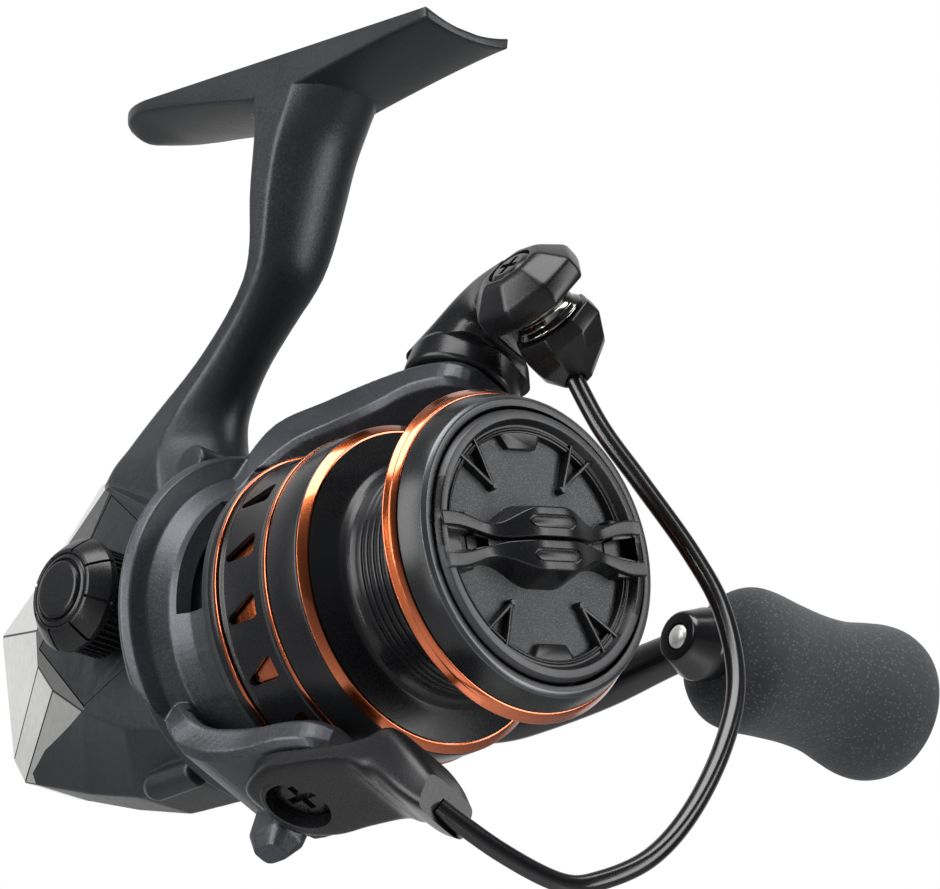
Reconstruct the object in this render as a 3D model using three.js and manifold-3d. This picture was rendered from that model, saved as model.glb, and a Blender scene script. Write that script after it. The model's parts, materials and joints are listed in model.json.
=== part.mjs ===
// A small spinning reel (1000 size) that hangs under a rod: foot up, spool forward, crank on the right.
// Millimetres. The exported frame has +Z up to the rod, -Y forward along the spool axis, +X at the crank,
// and its origin in the middle of the seat on top of the foot.
// The pieces are drawn in the spool frame (same axes, origin on the spool axis at the front edge of the
// lip ring), and the rotor's pieces in the turning frame (spool frame turned until +Z meets the bail arm).
import * as THREE from "three";
import { mergeVertices } from "three/addons/utils/BufferGeometryUtils.js";
import Module from "manifold-3d";

const wasm = await Module();
wasm.setup();

// ---- Driving dimensions ----
const SEAT = { y: 42, z: 75.5, tilt: THREE.MathUtils.degToRad(5) }; // middle of the foot's seat, spool frame
const FOOT = { front: 11, rear: 72.8, halfWidth: 7, sag: 1.2 };
const ROTOR_ANGLE = THREE.MathUtils.degToRad(22); // the rotor's rest angle about the spool axis
const KNOB_ANGLE = THREE.MathUtils.degToRad(-13); // the drag knob's rest angle
const DRIVE = { y: 62.5, z: 6.8 }; // the crank axis, parallel to X
const CRANK = { y: 20.8, z: 7.1, plane: 49.6 }; // the knob axis, and the plane that the arm swings in
const SHAFT_RADIUS = 1.25;
const LIP_RADIUS = 20.9;
const SKIRT_RADIUS = 20.75;
const ARBOR_RADIUS = 14.5;
const CUP_RADIUS = 18.8; // the rotor's cup, inside the spool skirt
const PIVOT = { y: 26, top: 34.2, bottom: -27.1 }; // bail pivot axis and the arm faces it stands on
const ROLLER = { start: [-10.1, 9.2, 41.3], direction: [0.968, 0, -0.251] }; // turning frame
const WIRE_RADIUS = 1.2;
const PINION = { teeth: 7, pitch: 2.16, y: 51.7 };
const GEAR = { teeth: 35, offset: 10.8, face: -2.0 };
const OSCILLATION = { y: 75, z: 0.5, teeth: 30, radius: 8.4, throw: 5.5 };
const TAKEOFF = { teeth: 20, radius: 5.6 };
const SLACK = 0.15; // gap between pieces that touch on the real reel

// ---- Materials ----
function material(color, roughness, metalness) {
  return new THREE.MeshStandardMaterial({ color, roughness, metalness });
}
const graphite = material(0x2b2e31, 0.55, 0.1);
const rotorGrey = material(0x3c4046, 0.42, 0.35);
const satinBlack = material(0x1c1d1f, 0.4, 0.3);
const glossBlack = material(0x0b0b0c, 0.15, 0.4);
const orange = material(0xc8561c, 0.25, 0.8);
const chrome = material(0xc9cbcc, 0.12, 1.0);
const steel = material(0x9a9da0, 0.3, 1.0);
const brass = material(0xb08d4a, 0.35, 1.0);
const foam = material(0x34373a, 0.95, 0.0);
const felt = material(0x5a4c3c, 0.9, 0.0);

// ---- Solids ----
// A closed geometry as a manifold solid that faces out.
function solid(geometry) {
  const bare = geometry.clone();
  bare.deleteAttribute("normal");
  bare.deleteAttribute("uv");
  const merged = mergeVertices(bare, 1e-4);
  const vertProperties = new Float32Array(merged.attributes.position.array);
  const triVerts = new Uint32Array(merged.index.array);
  const made = new wasm.Manifold(new wasm.Mesh({ numProp: 3, vertProperties, triVerts }));
  if (made.volume() > 0) return made;
  const turned = triVerts.slice();
  for (let i = 0; i < turned.length; i += 3) {
    [turned[i + 1], turned[i + 2]] = [turned[i + 2], turned[i + 1]];
  }
  return new wasm.Manifold(new wasm.Mesh({ numProp: 3, vertProperties, triVerts: turned }));
}

// A manifold solid back as a geometry.
function geometryOf(body) {
  const mesh = body.getMesh();
  const geometry = new THREE.BufferGeometry();
  geometry.setAttribute("position", new THREE.BufferAttribute(mesh.vertProperties, 3));
  geometry.setIndex(new THREE.BufferAttribute(mesh.triVerts, 1));
  return geometry;
}

function join(...geometries) {
  return geometryOf(geometries.map(solid).reduce((sum, next) => sum.add(next)));
}

function cut(geometry, ...tools) {
  return geometryOf(tools.map(solid).reduce((rest, tool) => rest.subtract(tool), solid(geometry)));
}

function common(first, second) {
  return geometryOf(solid(first).intersect(solid(second)));
}

// A profile of [radius, y] turned about Y; a ring's profile closes on itself.
function turned(profile, segments = 24, closed = false) {
  const points = profile.map(([radius, y]) => new THREE.Vector2(radius, y));
  if (closed) points.push(points[0].clone());
  return new THREE.LatheGeometry(points, segments);
}

function ring(inner, outer, low, high, segments = 18) {
  return turned([[inner, low], [outer, low], [outer, high], [inner, high]], segments, true);
}

function rod(radius, low, high, segments = 14) {
  return turned([[0, low], [radius, low], [radius, high], [0, high]], segments);
}

// Turns a geometry drawn about Y so that its +Y runs along a direction from a point.
function aimed(geometry, direction, at) {
  const up = new THREE.Vector3(0, 1, 0);
  const turn = new THREE.Quaternion().setFromUnitVectors(up, new THREE.Vector3(...direction).normalize());
  return geometry.applyQuaternion(turn).translate(...at);
}

// Draws about the crank axis: +Y of the geometry becomes +X.
function onCrankAxis(geometry) {
  return geometry.rotateZ(-Math.PI / 2).translate(0, DRIVE.y, DRIVE.z);
}

function box([x0, x1], [y0, y1], [z0, z1]) {
  const geometry = new THREE.BoxGeometry(x1 - x0, y1 - y0, z1 - z0);
  return geometry.translate((x0 + x1) / 2, (y0 + y1) / 2, (z0 + z1) / 2);
}

// A closed solid through rings of points, each ring with the same count; flat star-shaped ends.
function loft(rings) {
  const count = rings[0].length;
  const points = rings.flat();
  const index = [];
  rings.slice(1).forEach((_, level) => {
    for (let i = 0; i < count; i += 1) {
      const a = level * count + i;
      const b = level * count + ((i + 1) % count);
      index.push(a, b, a + count, b, b + count, a + count);
    }
  });
  for (const [start, turn] of [[0, 1], [(rings.length - 1) * count, 0]]) {
    const middle = new THREE.Vector3();
    for (let i = 0; i < count; i += 1) middle.addScaledVector(points[start + i], 1 / count);
    points.push(middle);
    for (let i = 0; i < count; i += 1) {
      const pair = [start + i, start + ((i + 1) % count)];
      if (turn) pair.reverse();
      index.push(...pair, points.length - 1);
    }
  }
  const geometry = new THREE.BufferGeometry().setFromPoints(points);
  geometry.setIndex(index);
  return geometry;
}

// A superellipse outline of [a, b] pairs: power 2 is an ellipse, a higher power is boxier.
function oval(halfA, halfB, power = 2, count = 16) {
  const outline = [];
  for (let i = 0; i < count; i += 1) {
    const angle = (2 * Math.PI * (i + 0.5)) / count;
    const soften = (value) => Math.sign(value) * Math.abs(value) ** (2 / power);
    outline.push([halfA * soften(Math.cos(angle)), halfB * soften(Math.sin(angle))]);
  }
  return outline;
}

// A tube of round section along a smooth curve through points.
function tube(points, radius, steps, sides = 8) {
  const shape = new THREE.Shape(oval(radius, radius, 2, sides).map(([a, b]) => new THREE.Vector2(a, b)));
  const extrudePath = new THREE.CatmullRomCurve3(points.map((point) => new THREE.Vector3(...point)));
  return new THREE.ExtrudeGeometry(shape, { steps, extrudePath, bevelEnabled: false });
}

// A flat outline of [a, b] pairs extruded along Z.
function plate(outline, depth) {
  const shape = new THREE.Shape(outline.map(([a, b]) => new THREE.Vector2(a, b)));
  return new THREE.ExtrudeGeometry(shape, { depth, bevelEnabled: false });
}

// A spur wheel about Z with straight-sided teeth thin enough to run with clearance.
function wheel(teeth, pitchRadius, addendum, dedendum, depth) {
  const outline = [];
  const pitch = (2 * Math.PI) / teeth;
  for (let i = 0; i < teeth; i += 1) {
    for (const [share, radius] of [
      [-0.3, pitchRadius - dedendum],
      [-0.13, pitchRadius + addendum],
      [0.13, pitchRadius + addendum],
      [0.3, pitchRadius - dedendum],
    ]) {
      const angle = (i + share) * pitch;
      outline.push([radius * Math.cos(angle), radius * Math.sin(angle)]);
    }
  }
  return plate(outline, depth);
}

// A cross-head screw about Y: the head's top at y = 0, the shank towards -Y.
function screw(headRadius, headHeight, shankRadius, length) {
  const body = turned([
    [0, -length],
    [shankRadius, -length],
    [shankRadius, -headHeight],
    [headRadius, -headHeight],
    [headRadius, -0.3 * headHeight],
    [headRadius * 0.75, 0],
    [0, 0],
  ], 16);
  const arm = headRadius * 0.6;
  const slot = headRadius * 0.14;
  const depth = headHeight * 0.6;
  return cut(
    body,
    box([-arm, arm], [-depth, 1], [-slot, slot]),
    box([-slot, slot], [-depth, 1], [-arm, arm]),
  );
}

// ---- Scene graph ----
const reel = new THREE.Group();
const onSpoolAxis = new THREE.Group();
onSpoolAxis.position.set(0, -SEAT.y, -SEAT.z);
reel.add(onSpoolAxis);
const turning = new THREE.Group();
turning.rotation.y = ROTOR_ANGLE;
onSpoolAxis.add(turning);

function piece(name, geometry, look, parent = onSpoolAxis) {
  const mesh = new THREE.Mesh(geometry, look);
  mesh.name = name;
  parent.add(mesh);
  return mesh;
}

// ---- Gear housing, stem and foot ----
// The housing is lofted across X between outlines of [y, z]: the flat cover side, the ridge, the right side.
const RIDGE = [
  [47, 20], [74, 28.5], [83, 20.5], [93.2, 12.9], [89.8, -4.8],
  [87.4, -8.4], [75, -13], [65, -16], [54, -16.8], [47, -15.5],
];
const FACE = [
  [47, 12], [65, 24], [72, 18.5], [78.2, 8], [77.6, 3],
  [74.5, -1], [68.4, -5.4], [60, -10], [53, -12], [47, -11],
];
const HOUSING_LAYERS = [[-11, FACE], [-4.5, RIDGE], [4.5, RIDGE], [11.5, FACE]];
const FRAME_HOLLOW = [[-9.2, FACE], [-3.8, RIDGE], [3.8, RIDGE], [9.6, FACE]];
const BUMPER_HOLLOW = [[-9.6, FACE], [-4, RIDGE], [4, RIDGE], [10, FACE]];
const HOUSING_CORE = [66, 3]; // the outlines shrink towards this point to make the inner wall

function housing(layers, scale) {
  return loft(layers.map(([x, outline]) => outline.map(([y, z]) => new THREE.Vector3(
    x,
    HOUSING_CORE[0] + (y - HOUSING_CORE[0]) * scale,
    HOUSING_CORE[1] + (z - HOUSING_CORE[1]) * scale,
  ))));
}

const COVER_OUTLINE = [[64.2, 22.4], [77.4, 5.4], [68.2, -4.6], [50.4, 2.4], [50.4, 9.6]];

// An outline of [y, z] extruded along X from x0 to x1.
function acrossX(outline, x0, x1) {
  return plate(outline, x1 - x0).rotateY(Math.PI / 2).rotateX(Math.PI / 2).translate(x0, 0, 0);
}

function grown(outline, distance) {
  const count = outline.length;
  const middle = outline.reduce(([a, b], [y, z]) => [a + y / count, b + z / count], [0, 0]);
  return outline.map(([y, z]) => {
    const reach = Math.hypot(y - middle[0], z - middle[1]);
    const scale = 1 + distance / reach;
    return [middle[0] + (y - middle[0]) * scale, middle[1] + (z - middle[1]) * scale];
  });
}

// Stem stations: height, front y, rear y, half width in x.
const STEM = [
  [20, 52, 76, 8],
  [27, 53.5, 74.6, 7.8],
  [31, 54.2, 70.6, 6.7],
  [35, 53.6, 66.2, 5.4],
  [40, 50.2, 59.4, 4.4],
  [45, 45.4, 53.2, 4.4],
  [49, 42, 49, 5],
  [53, 40.2, 47.3, 5.7],
  [59, 38.2, 47.2, 6.4],
  [65, 35.9, 47, 6.7],
  [69.5, 32.6, 47.6, 6.8],
  [73, 29.6, 49, 6.9],
];

function stemSolid(allowance = 0) {
  return loft(STEM.map(([z, front, rear, halfWidth]) => (
    oval(halfWidth + allowance, (rear - front) / 2 + allowance, 3.2, 16)
      .map(([x, y]) => new THREE.Vector3(x, (front + rear) / 2 + y, z))
  )));
}

// The foot: a seat that sags across its width between thin tips, thick where the stem meets it.
function footSolid() {
  const stations = [];
  const steps = 12;
  for (let i = 0; i <= steps; i += 1) {
    const y = FOOT.front + ((FOOT.rear - FOOT.front) * i) / steps;
    const fromTip = y < SEAT.y ? (y - FOOT.front) / 26 : (FOOT.rear - 5 - y) / 23;
    const toStem = Math.min(1, Math.max(0, fromTip));
    const round = Math.min(1, (FOOT.rear + 0.8 - y) / 9);
    const halfWidth = FOOT.halfWidth * Math.sqrt(Math.max(0, 1 - (1 - round) ** 2));
    const edge = SEAT.z + FOOT.sag + (y - SEAT.y) * Math.tan(SEAT.tilt);
    const thickness = 1.5 + 3.4 * toStem ** 1.3;
    const across = [-1, -0.62, -0.2, 0.2, 0.62, 1];
    const seat = across.map((share) => {
      const rise = Math.min(1, Math.max(0, (Math.abs(share) - 0.2) / 0.8)) ** 1.6;
      return [share * halfWidth, edge - FOOT.sag * (1 - rise) * (halfWidth / 7) ** 2];
    });
    const belly = [1, 0.55, 0, -0.55, -1].map((share) => [
      share * halfWidth * 0.98,
      edge - thickness - 0.9 * (1 - share ** 2),
    ]);
    stations.push([...seat, ...belly].map(([x, z]) => new THREE.Vector3(x, y, z)));
  }
  return loft(stations);
}

// The bumper covers the rear of the housing behind this line.
const BUMPER_LINE = [
  [64.6, 23], [73.6, 28.7], [76, 40], [110, 40], [110, -30], [87, -30],
  [85, -7.9], [80.5, -6.4], [68, -5.2], [76, 4.2], [76, 6.4],
];
const bumperZone = acrossX(BUMPER_LINE, -14, 15);
const coverOpening = acrossX(grown(COVER_OUTLINE, 0.2), -14, -9.1);
const oscillationPocket = aimed(rod(9.3, 3.7, 6.7, 28), [1, 0, 0], [0, OSCILLATION.y, OSCILLATION.z]);
const bumper = cut(
  common(cut(housing(HOUSING_LAYERS, 1), housing(BUMPER_HOLLOW, 0.94)), bumperZone),
  oscillationPocket,
  coverOpening,
  stemSolid(SLACK),
);
const SLIDER = { y: [72.5, 77.5], z: [-7.2, 7.6] };

const frontFlange = turned([[0, 47], [18.6, 47], [19.4, 47.8], [19.2, 50], [15, 52], [0, 52]], 28);
const clutchHousing = rod(15.2, 35.4, 47.2, 24);
const crankBoss = onCrankAxis(turned([[0, 9], [7.2, 9], [6.6, 13.4], [0, 13.4]], 24));
const stopButton = aimed(
  turned([[0, 0], [2.5, 0], [2.7, 0.3], [2.9, 6], [0, 6]], 16),
  [1, 0, -0.1],
  [-8.4, 52.6, 24.2],
);
const lowerNose = aimed(
  turned([[0, 0], [1.3, 0.4], [1.9, 1.6], [1.9, 9.5], [0, 9.5]], 12),
  [0, -1, 0],
  [-6.5, 60.5, -16.6],
);
const clutchBore = turned([
  [0, 34], [12.2, 34], [12.2, 43.4], [6.3, 43.4], [6.3, 46.6], [3.9, 46.6], [3.9, 60], [0, 60],
], 24);
const crankBore = onCrankAxis(turned([
  [0, -8.8], [14.5, -8.8], [14.5, -1.6], [6.8, -1.6], [6.8, 7], [5.2, 7], [5.2, 10.5], [3.4, 10.5],
  [3.4, 16], [0, 16],
], 28));
const frameShell = cut(
  join(
    cut(housing(HOUSING_LAYERS, 1), bumperZone),
    stemSolid(),
    footSolid(),
    frontFlange,
    clutchHousing,
    crankBoss,
    stopButton,
    lowerNose,
  ),
  housing(FRAME_HOLLOW, 0.885),
  coverOpening,
  acrossX(grown(COVER_OUTLINE, -2.4), -14, -2),
  clutchBore,
  crankBore,
  oscillationPocket,
);
const bushWeb = cut(box([-1.6, 10.4], [55.2, 57.2], [-7.4, 3.4]), rod(3.05, 50, 60, 16));
const bearingBoss = onCrankAxis(ring(5.3, 6.8, 6.9, 10, 20));
piece("body_frame", join(frameShell, bushWeb, bearingBoss), graphite);
piece("rear_bumper", bumper, chrome);

const coverBearingSeat = onCrankAxis(turned([
  [0, -12], [3.3, -12], [3.3, -9.7], [5.2, -9.7], [5.2, -6], [0, -6],
], 24));
const coverBoss = onCrankAxis(rod(6.2, -9.4, -6.6, 24));
const COVER_SCREWS = [[52.6, 8], [53.4, 3.4]];
piece("side_cover", cut(
  join(acrossX(COVER_OUTLINE, -11, -9.3), coverBoss),
  coverBearingSeat,
  ...COVER_SCREWS.map(([y, z]) => aimed(rod(0.95, -3, 3, 12), [1, 0, 0], [-10, y, z])),
), graphite);
COVER_SCREWS.forEach(([y, z], i) => {
  piece(`cover_screw_${i + 1}`, aimed(screw(1.3, 0.7, 0.8, 1.7), [-1, 0, 0], [-11.85, y, z]), steel);
});

// ---- Crank side: drive shaft, face gear, bearings, arm and knob ----
piece("drive_bearing_left", onCrankAxis(ring(3.1, 5.1, -9.6, -7.2)), steel);
piece("drive_bearing_right", onCrankAxis(ring(3.1, 5.1, 7.9, 10.3)), steel);
piece("drive_shaft", onCrankAxis(ring(2.1, 3, -11.6, 14)), brass);

// The face gear's teeth all run along lines that pass the crank axis at the height of the pinion axis, so the
// tooth in mesh lies along Y beside the pinion.
function faceGear() {
  const disc = onCrankAxis(turned([
    [3.1, -5.6], [13.9, -5.6], [13.9, -3.3], [9.5, -3.3], [9.5, -4.2], [4.1, -4.2], [4.1, 3.7], [3.1, 3.7],
  ], 28, true));
  const teeth = [];
  for (let i = 0; i < GEAR.teeth; i += 1) {
    const tooth = box(
      [-3.5, GEAR.face],
      [-GEAR.offset - 1.5, -GEAR.offset + 1.3],
      [-DRIVE.z - 0.24, -DRIVE.z + 0.24],
    );
    teeth.push(tooth.rotateX((2 * Math.PI * i) / GEAR.teeth).translate(0, DRIVE.y, DRIVE.z));
  }
  return join(disc, ...teeth);
}
piece("drive_gear", faceGear(), brass);

function wheelAcrossX(geometry, x, { y, z }, turn = 0) {
  return geometry.rotateZ(turn).rotateY(Math.PI / 2).translate(x, y, z);
}
// The takeoff gear has a gap, and the oscillation gear a tooth, on their line of centres.
const lineOfCentres = Math.atan2(OSCILLATION.z - DRIVE.z, OSCILLATION.y - DRIVE.y) + Math.PI / 2;
const takeoff = cut(
  wheelAcrossX(
    wheel(TAKEOFF.teeth, TAKEOFF.radius, 0.5, 0.65, 2.2),
    4.1,
    DRIVE,
    lineOfCentres + Math.PI / TAKEOFF.teeth,
  ),
  onCrankAxis(rod(3.15, 3, 8, 18)),
);
piece("takeoff_gear", takeoff, brass);
piece("oscillation_gear", cut(
  join(
    wheelAcrossX(
      wheel(OSCILLATION.teeth, OSCILLATION.radius, 0.5, 0.65, 2.2),
      4.1,
      OSCILLATION,
      lineOfCentres + Math.PI,
    ),
    aimed(rod(0.9, 0, 1, 12), [-1, 0, 0], [4.4, OSCILLATION.y, OSCILLATION.z + OSCILLATION.throw]),
  ),
  aimed(rod(1.3, -3, 3, 16), [1, 0, 0], [5, OSCILLATION.y, OSCILLATION.z]),
), satinBlack);
const stud = aimed(rod(1.15, 0, 4.6, 16), [1, 0, 0], [4.2, OSCILLATION.y, OSCILLATION.z]);
piece("oscillation_gear_stud", stud, steel);

// The screw cap on the left: ribbed skirt, bevelled ring and a flat button.
function handleCap() {
  const cap = turned([
    [0, 0], [6.4, 0], [6.4, 4.4], [7.1, 4.9], [7.1, 5.9], [5.3, 8.3], [4.2, 8.5], [4.2, 8.1],
    [3.7, 8.1], [3.7, 8.8], [0, 8.8],
  ], 28);
  const ribs = [];
  for (let i = 0; i < 16; i += 1) {
    ribs.push(box([6.2, 6.75], [0.2, 4.6], [-0.35, 0.35]).rotateY((2 * Math.PI * (i + 0.5)) / 16));
  }
  const notches = [];
  for (let i = 0; i < 8; i += 1) {
    notches.push(box([6, 8], [5.4, 9], [-0.25, 0.25]).rotateY((2 * Math.PI * (i + 0.5)) / 8));
  }
  return aimed(cut(join(cap, ...ribs), ...notches), [-1, 0, 0], [-11.9, DRIVE.y, DRIVE.z]);
}
piece("handle_cap", handleCap(), satinBlack);
piece("handle_cap_stud", aimed(rod(1.1, 0, 8, 16), [1, 0, 0], [-11.6, DRIVE.y, DRIVE.z]), steel);

// The crank arm: a round shank along X that bends forward into a tapered arm with a barrel at its tip.
const ARM = [
  [14.2, 62.5, 6.8, 3.6, 3.6],
  [20, 62.5, 6.8, 3.4, 3.4],
  [38, 62.5, 6.8, 3.3, 3.3],
  [45, 60.8, 6.8, 3.4, 3.7],
  [48.6, 56, 6.7, 2.9, 3.9],
  [49.8, 49, 6.4, 2.4, 3.5],
  [50, 38, 6.3, 2.3, 3.1],
  [49.8, 28, 6.8, 2.2, 2.7],
  [49.6, 20.8, 7.1, 2.1, 2.5],
];
function crankArm() {
  const centres = ARM.map(([x, y, z]) => new THREE.Vector3(x, y, z));
  const rings = ARM.map(([, , , halfSide, halfHeight], i) => {
    const before = centres[Math.max(0, i - 1)];
    const after = centres[Math.min(ARM.length - 1, i + 1)];
    const along = after.clone().sub(before).normalize();
    const side = new THREE.Vector3(along.y, -along.x, 0).normalize();
    return oval(halfSide, halfHeight, 2.3, 12).map(([a, b]) => centres[i].clone()
      .addScaledVector(side, a).add(new THREE.Vector3(0, 0, b)));
  });
  const barrel = aimed(
    turned([[0, 0], [3.1, 0], [3.4, 0.4], [4.1, 2.2], [4.8, 3.8], [4.6, 5.6], [3.8, 7.2], [0, 7.2]], 24),
    [1, 0, 0],
    [46, CRANK.y, CRANK.z],
  );
  const bore = aimed(rod(1.75, -1, 9), [1, 0, 0], [46, CRANK.y, CRANK.z]);
  return cut(join(loft(rings), barrel), bore);
}
piece("crank_arm", crankArm(), glossBlack);
piece("crank_shank", onCrankAxis(ring(1.25, 1.95, -10.6, 14)), steel);
piece("crank_pin", aimed(rod(1.6, 0, 36.2, 20), [1, 0, 0], [45.9, CRANK.y, CRANK.z]), chrome);
piece("knob_bush_inner", aimed(ring(1.75, 3, 0, 3), [1, 0, 0], [53.8, CRANK.y, CRANK.z]), brass);
piece("knob_bush_outer", aimed(ring(1.75, 3, 0, 3), [1, 0, 0], [79, CRANK.y, CRANK.z]), brass);
const KNOB_PROFILE = [
  [3.15, 53.6], [5.2, 53.6], [7.5, 54.3], [9, 56.2], [9.3, 58.6], [8.9, 63], [8.6, 68], [8.8, 72.5],
  [9.6, 76.5], [10.1, 79.5], [9.9, 82], [8.7, 84.2], [5.5, 85.6], [0, 86], [0, 82.6], [3.15, 82.6],
];
const knobShape = turned(KNOB_PROFILE, 26, true);
piece("handle_knob", knobShape.rotateZ(-Math.PI / 2).translate(0, CRANK.y, CRANK.z), foam);

// ---- Pinion, clutch and front bearing ----
function pinion() {
  const teeth = wheel(PINION.teeth, PINION.pitch, 0.36, 0.36, 5).rotateX(-Math.PI / 2).translate(0, 49, 0);
  const body = turned([
    [0, 24.4], [2.5, 24.4], [2.5, 26.8], [3, 26.8], [3, 46.8], [3.5, 46.9], [3.5, 48.4], [1.8, 48.6],
    [1.8, 57.4], [0, 57.4],
  ], 24);
  return cut(join(body, teeth), rod(SHAFT_RADIUS + 0.15, 10, 60, 20));
}
piece("pinion", pinion(), brass);
piece("pinion_bearing", ring(3.1, 6.2, 43.6, 46.5), steel);
piece("pinion_rear_bush", ring(1.95, 2.9, 55.3, 57.1, 16), brass);
piece("clutch_inner_sleeve", ring(3.1, 5.4, 36.2, 43.3), steel);
piece("clutch_outer_race", ring(8.6, 12, 36.2, 43.2), steel);
function clutchCage() {
  const rollers = [];
  for (let i = 0; i < 6; i += 1) {
    const angle = (Math.PI * i) / 3;
    rollers.push(rod(1.35, 36.6, 42.8, 8).translate(7 * Math.cos(angle), 0, 7 * Math.sin(angle)));
  }
  return join(ring(5.9, 8.2, 36.4, 37.4), ...rollers);
}
piece("clutch_rollers", clutchCage(), steel);
piece("clutch_retainer", ring(5.6, 12, 35.5, 36.05), steel);

// ---- Main shaft and oscillation slider ----
piece("main_shaft", join(
  rod(SHAFT_RADIUS, -2.4, 78.6, 20),
  rod(0.6, -3.4, 3.4, 10).rotateZ(Math.PI / 2).translate(0, 17.8, 0),
), steel);
piece("oscillation_slider", cut(
  box([-1.75, 3.3], SLIDER.y, SLIDER.z),
  rod(SHAFT_RADIUS + 0.1, 60, 90, 20),
  box([1.7, 4], [73.9, 76.1], [-6, 7.1]),
  rod(0.95, 60, 90, 12).translate(0.2, 0, -5.6),
), brass);
piece("slider_guide_rod", rod(0.8, 57.4, 85.6, 12).translate(0.2, 0, -5.6), steel);

// ---- Rotor ----
// An arm's stations in the turning frame: inner [y, z], outer [y, z], half width.
const ROTOR_ARM_TOP = [
  [[41.5, 9], [45.6, 9], 16],
  [[40.4, 16], [45.6, 19], 14.2],
  [[38, 21.6], [44.8, 27], 12.2],
  [[34.6, 25.4], [39.8, 31.2], 9.6],
  [[30.4, 28], [33.4, 33.7], 8],
  [[26, 29.4], [26, 34.1], 7.4],
  [[21, 30], [21, 34.1], 6],
  [[18.9, 30.4], [18.9, 33.8], 3.6],
];
const ROTOR_ARM_BOTTOM = [
  [[41.5, -9], [45.6, -9], 16],
  [[40.8, -15], [45.6, -17.4], 12.5],
  [[39.4, -20], [45.6, -22], 11],
  [[36.8, -22], [42, -24.2], 9.8],
  [[33.2, -22.6], [37, -26.4], 8.8],
  [[29, -22.8], [31.4, -27.1], 7.8],
  [[25, -22.8], [25, -27.1], 7.2],
  [[21, -22.9], [21, -27.1], 5.8],
  [[18.9, -23.2], [18.9, -26.8], 3.6],
];
function rotorArm(stations) {
  return loft(stations.map(([inner, outer, halfWidth]) => {
    const [dy, dz] = [(outer[0] - inner[0]) / 2, (outer[1] - inner[1]) / 2];
    const [y, z] = [(outer[0] + inner[0]) / 2, (outer[1] + inner[1]) / 2];
    return oval(halfWidth, 1, 5, 12).map(([a, b]) => new THREE.Vector3(a, y + b * dy, z + b * dz));
  }));
}
function rotor() {
  const cup = turned([
    [CUP_RADIUS - 1.9, 46], [24.2, 46.2], [24.6, 45.4], [24, 44.2], [21.4, 44], [CUP_RADIUS + 0.7, 42],
    [CUP_RADIUS, 39], [CUP_RADIUS, 26], [17.8, 24.9], [9, 24.6], [5.6, 24.6], [5.6, 26.7],
    [3.15, 26.7], [3.15, 29.4], [9, 29.2], [CUP_RADIUS - 1.9, 31],
  ], 28, true);
  const innerClearance = rod(CUP_RADIUS - 1.2, 31.5, 50, 28);
  const skirtClearance = rod(21.7, 10, 41.4, 28);
  // A stop peg stands out of the lower arm behind the holder.
  const peg = loft([[-22, 3, 3.4], [-29.6, 2.6, 3.2], [-31.8, 1.5, 2]].map(([z, halfX, halfY]) => (
    oval(halfX, halfY, 3, 12).map(([x, y]) => new THREE.Vector3(5 + x, 36 + y, z))
  )));
  const arms = cut(
    join(rotorArm(ROTOR_ARM_TOP), rotorArm(ROTOR_ARM_BOTTOM), peg),
    skirtClearance,
    innerClearance,
  );
  // The rim sweeps forwards into the lower arm.
  const underRim = acrossX([
    [47.9, -15.3], [44.4, -20], [41.6, -24], [39.6, -26.6], [39.6, -40], [60, -40], [60, -15.3],
  ], -30, 30);
  const windows = [-1, 1].map((side) => box([side * 23 - 8, side * 23 + 8], [31.5, 41], [-9, 9]));
  const alongPivot = (radius, low, high) => (
    rod(radius, low, high, 16).rotateX(Math.PI / 2).translate(0, PIVOT.y, 0)
  );
  return cut(
    join(cup, arms),
    underRim,
    ...windows,
    alongPivot(2.05, 29.6, 40),
    alongPivot(1.95, -40, -23.4),
    alongPivot(7.8, -40, PIVOT.bottom),
    box([-2.2, 2.2], [31, 38.6], [20, 28.6]),
  );
}
piece("rotor", rotor(), rotorGrey, turning);
piece("rotor_collar", ring(CUP_RADIUS + 0.15, CUP_RADIUS + 0.55, 26.6, 33, 28), orange, turning);
piece("rotor_nut", cut(
  plate(oval(4.9, 4.9, 2, 6), 1.9).rotateX(-Math.PI / 2).translate(0, 24.65, 0),
  rod(2.6, 10, 30, 20),
), steel, turning);
function bailSpring() {
  const points = [];
  const steps = 28;
  for (let i = 0; i <= steps; i += 1) {
    const angle = (i * 2 * Math.PI) / 7;
    points.push([1.4 * Math.cos(angle), 31.8 + (5.6 * i) / steps, 25 + 1.4 * Math.sin(angle)]);
  }
  return tube(points, 0.32, steps, 4);
}
piece("bail_spring", bailSpring(), steel, turning);
piece("bail_pivot_pin", rod(1.9, 29.9, 38, 16).rotateX(Math.PI / 2).translate(0, PIVOT.y, 0), steel, turning);
const holderScrew = aimed(screw(3.6, 1.1, 1.8, 6), [0, 0, -1], [0, PIVOT.y, PIVOT.bottom - 2.5]);
piece("holder_pivot_screw", holderScrew, satinBlack, turning);

// ---- Bail: arm, line roller, wire and holder ----
function rollerPoint(distance) {
  return ROLLER.start.map((value, i) => value + ROLLER.direction[i] * distance);
}
function onRollerAxis(geometry) {
  return aimed(geometry, ROLLER.direction, ROLLER.start);
}
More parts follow.
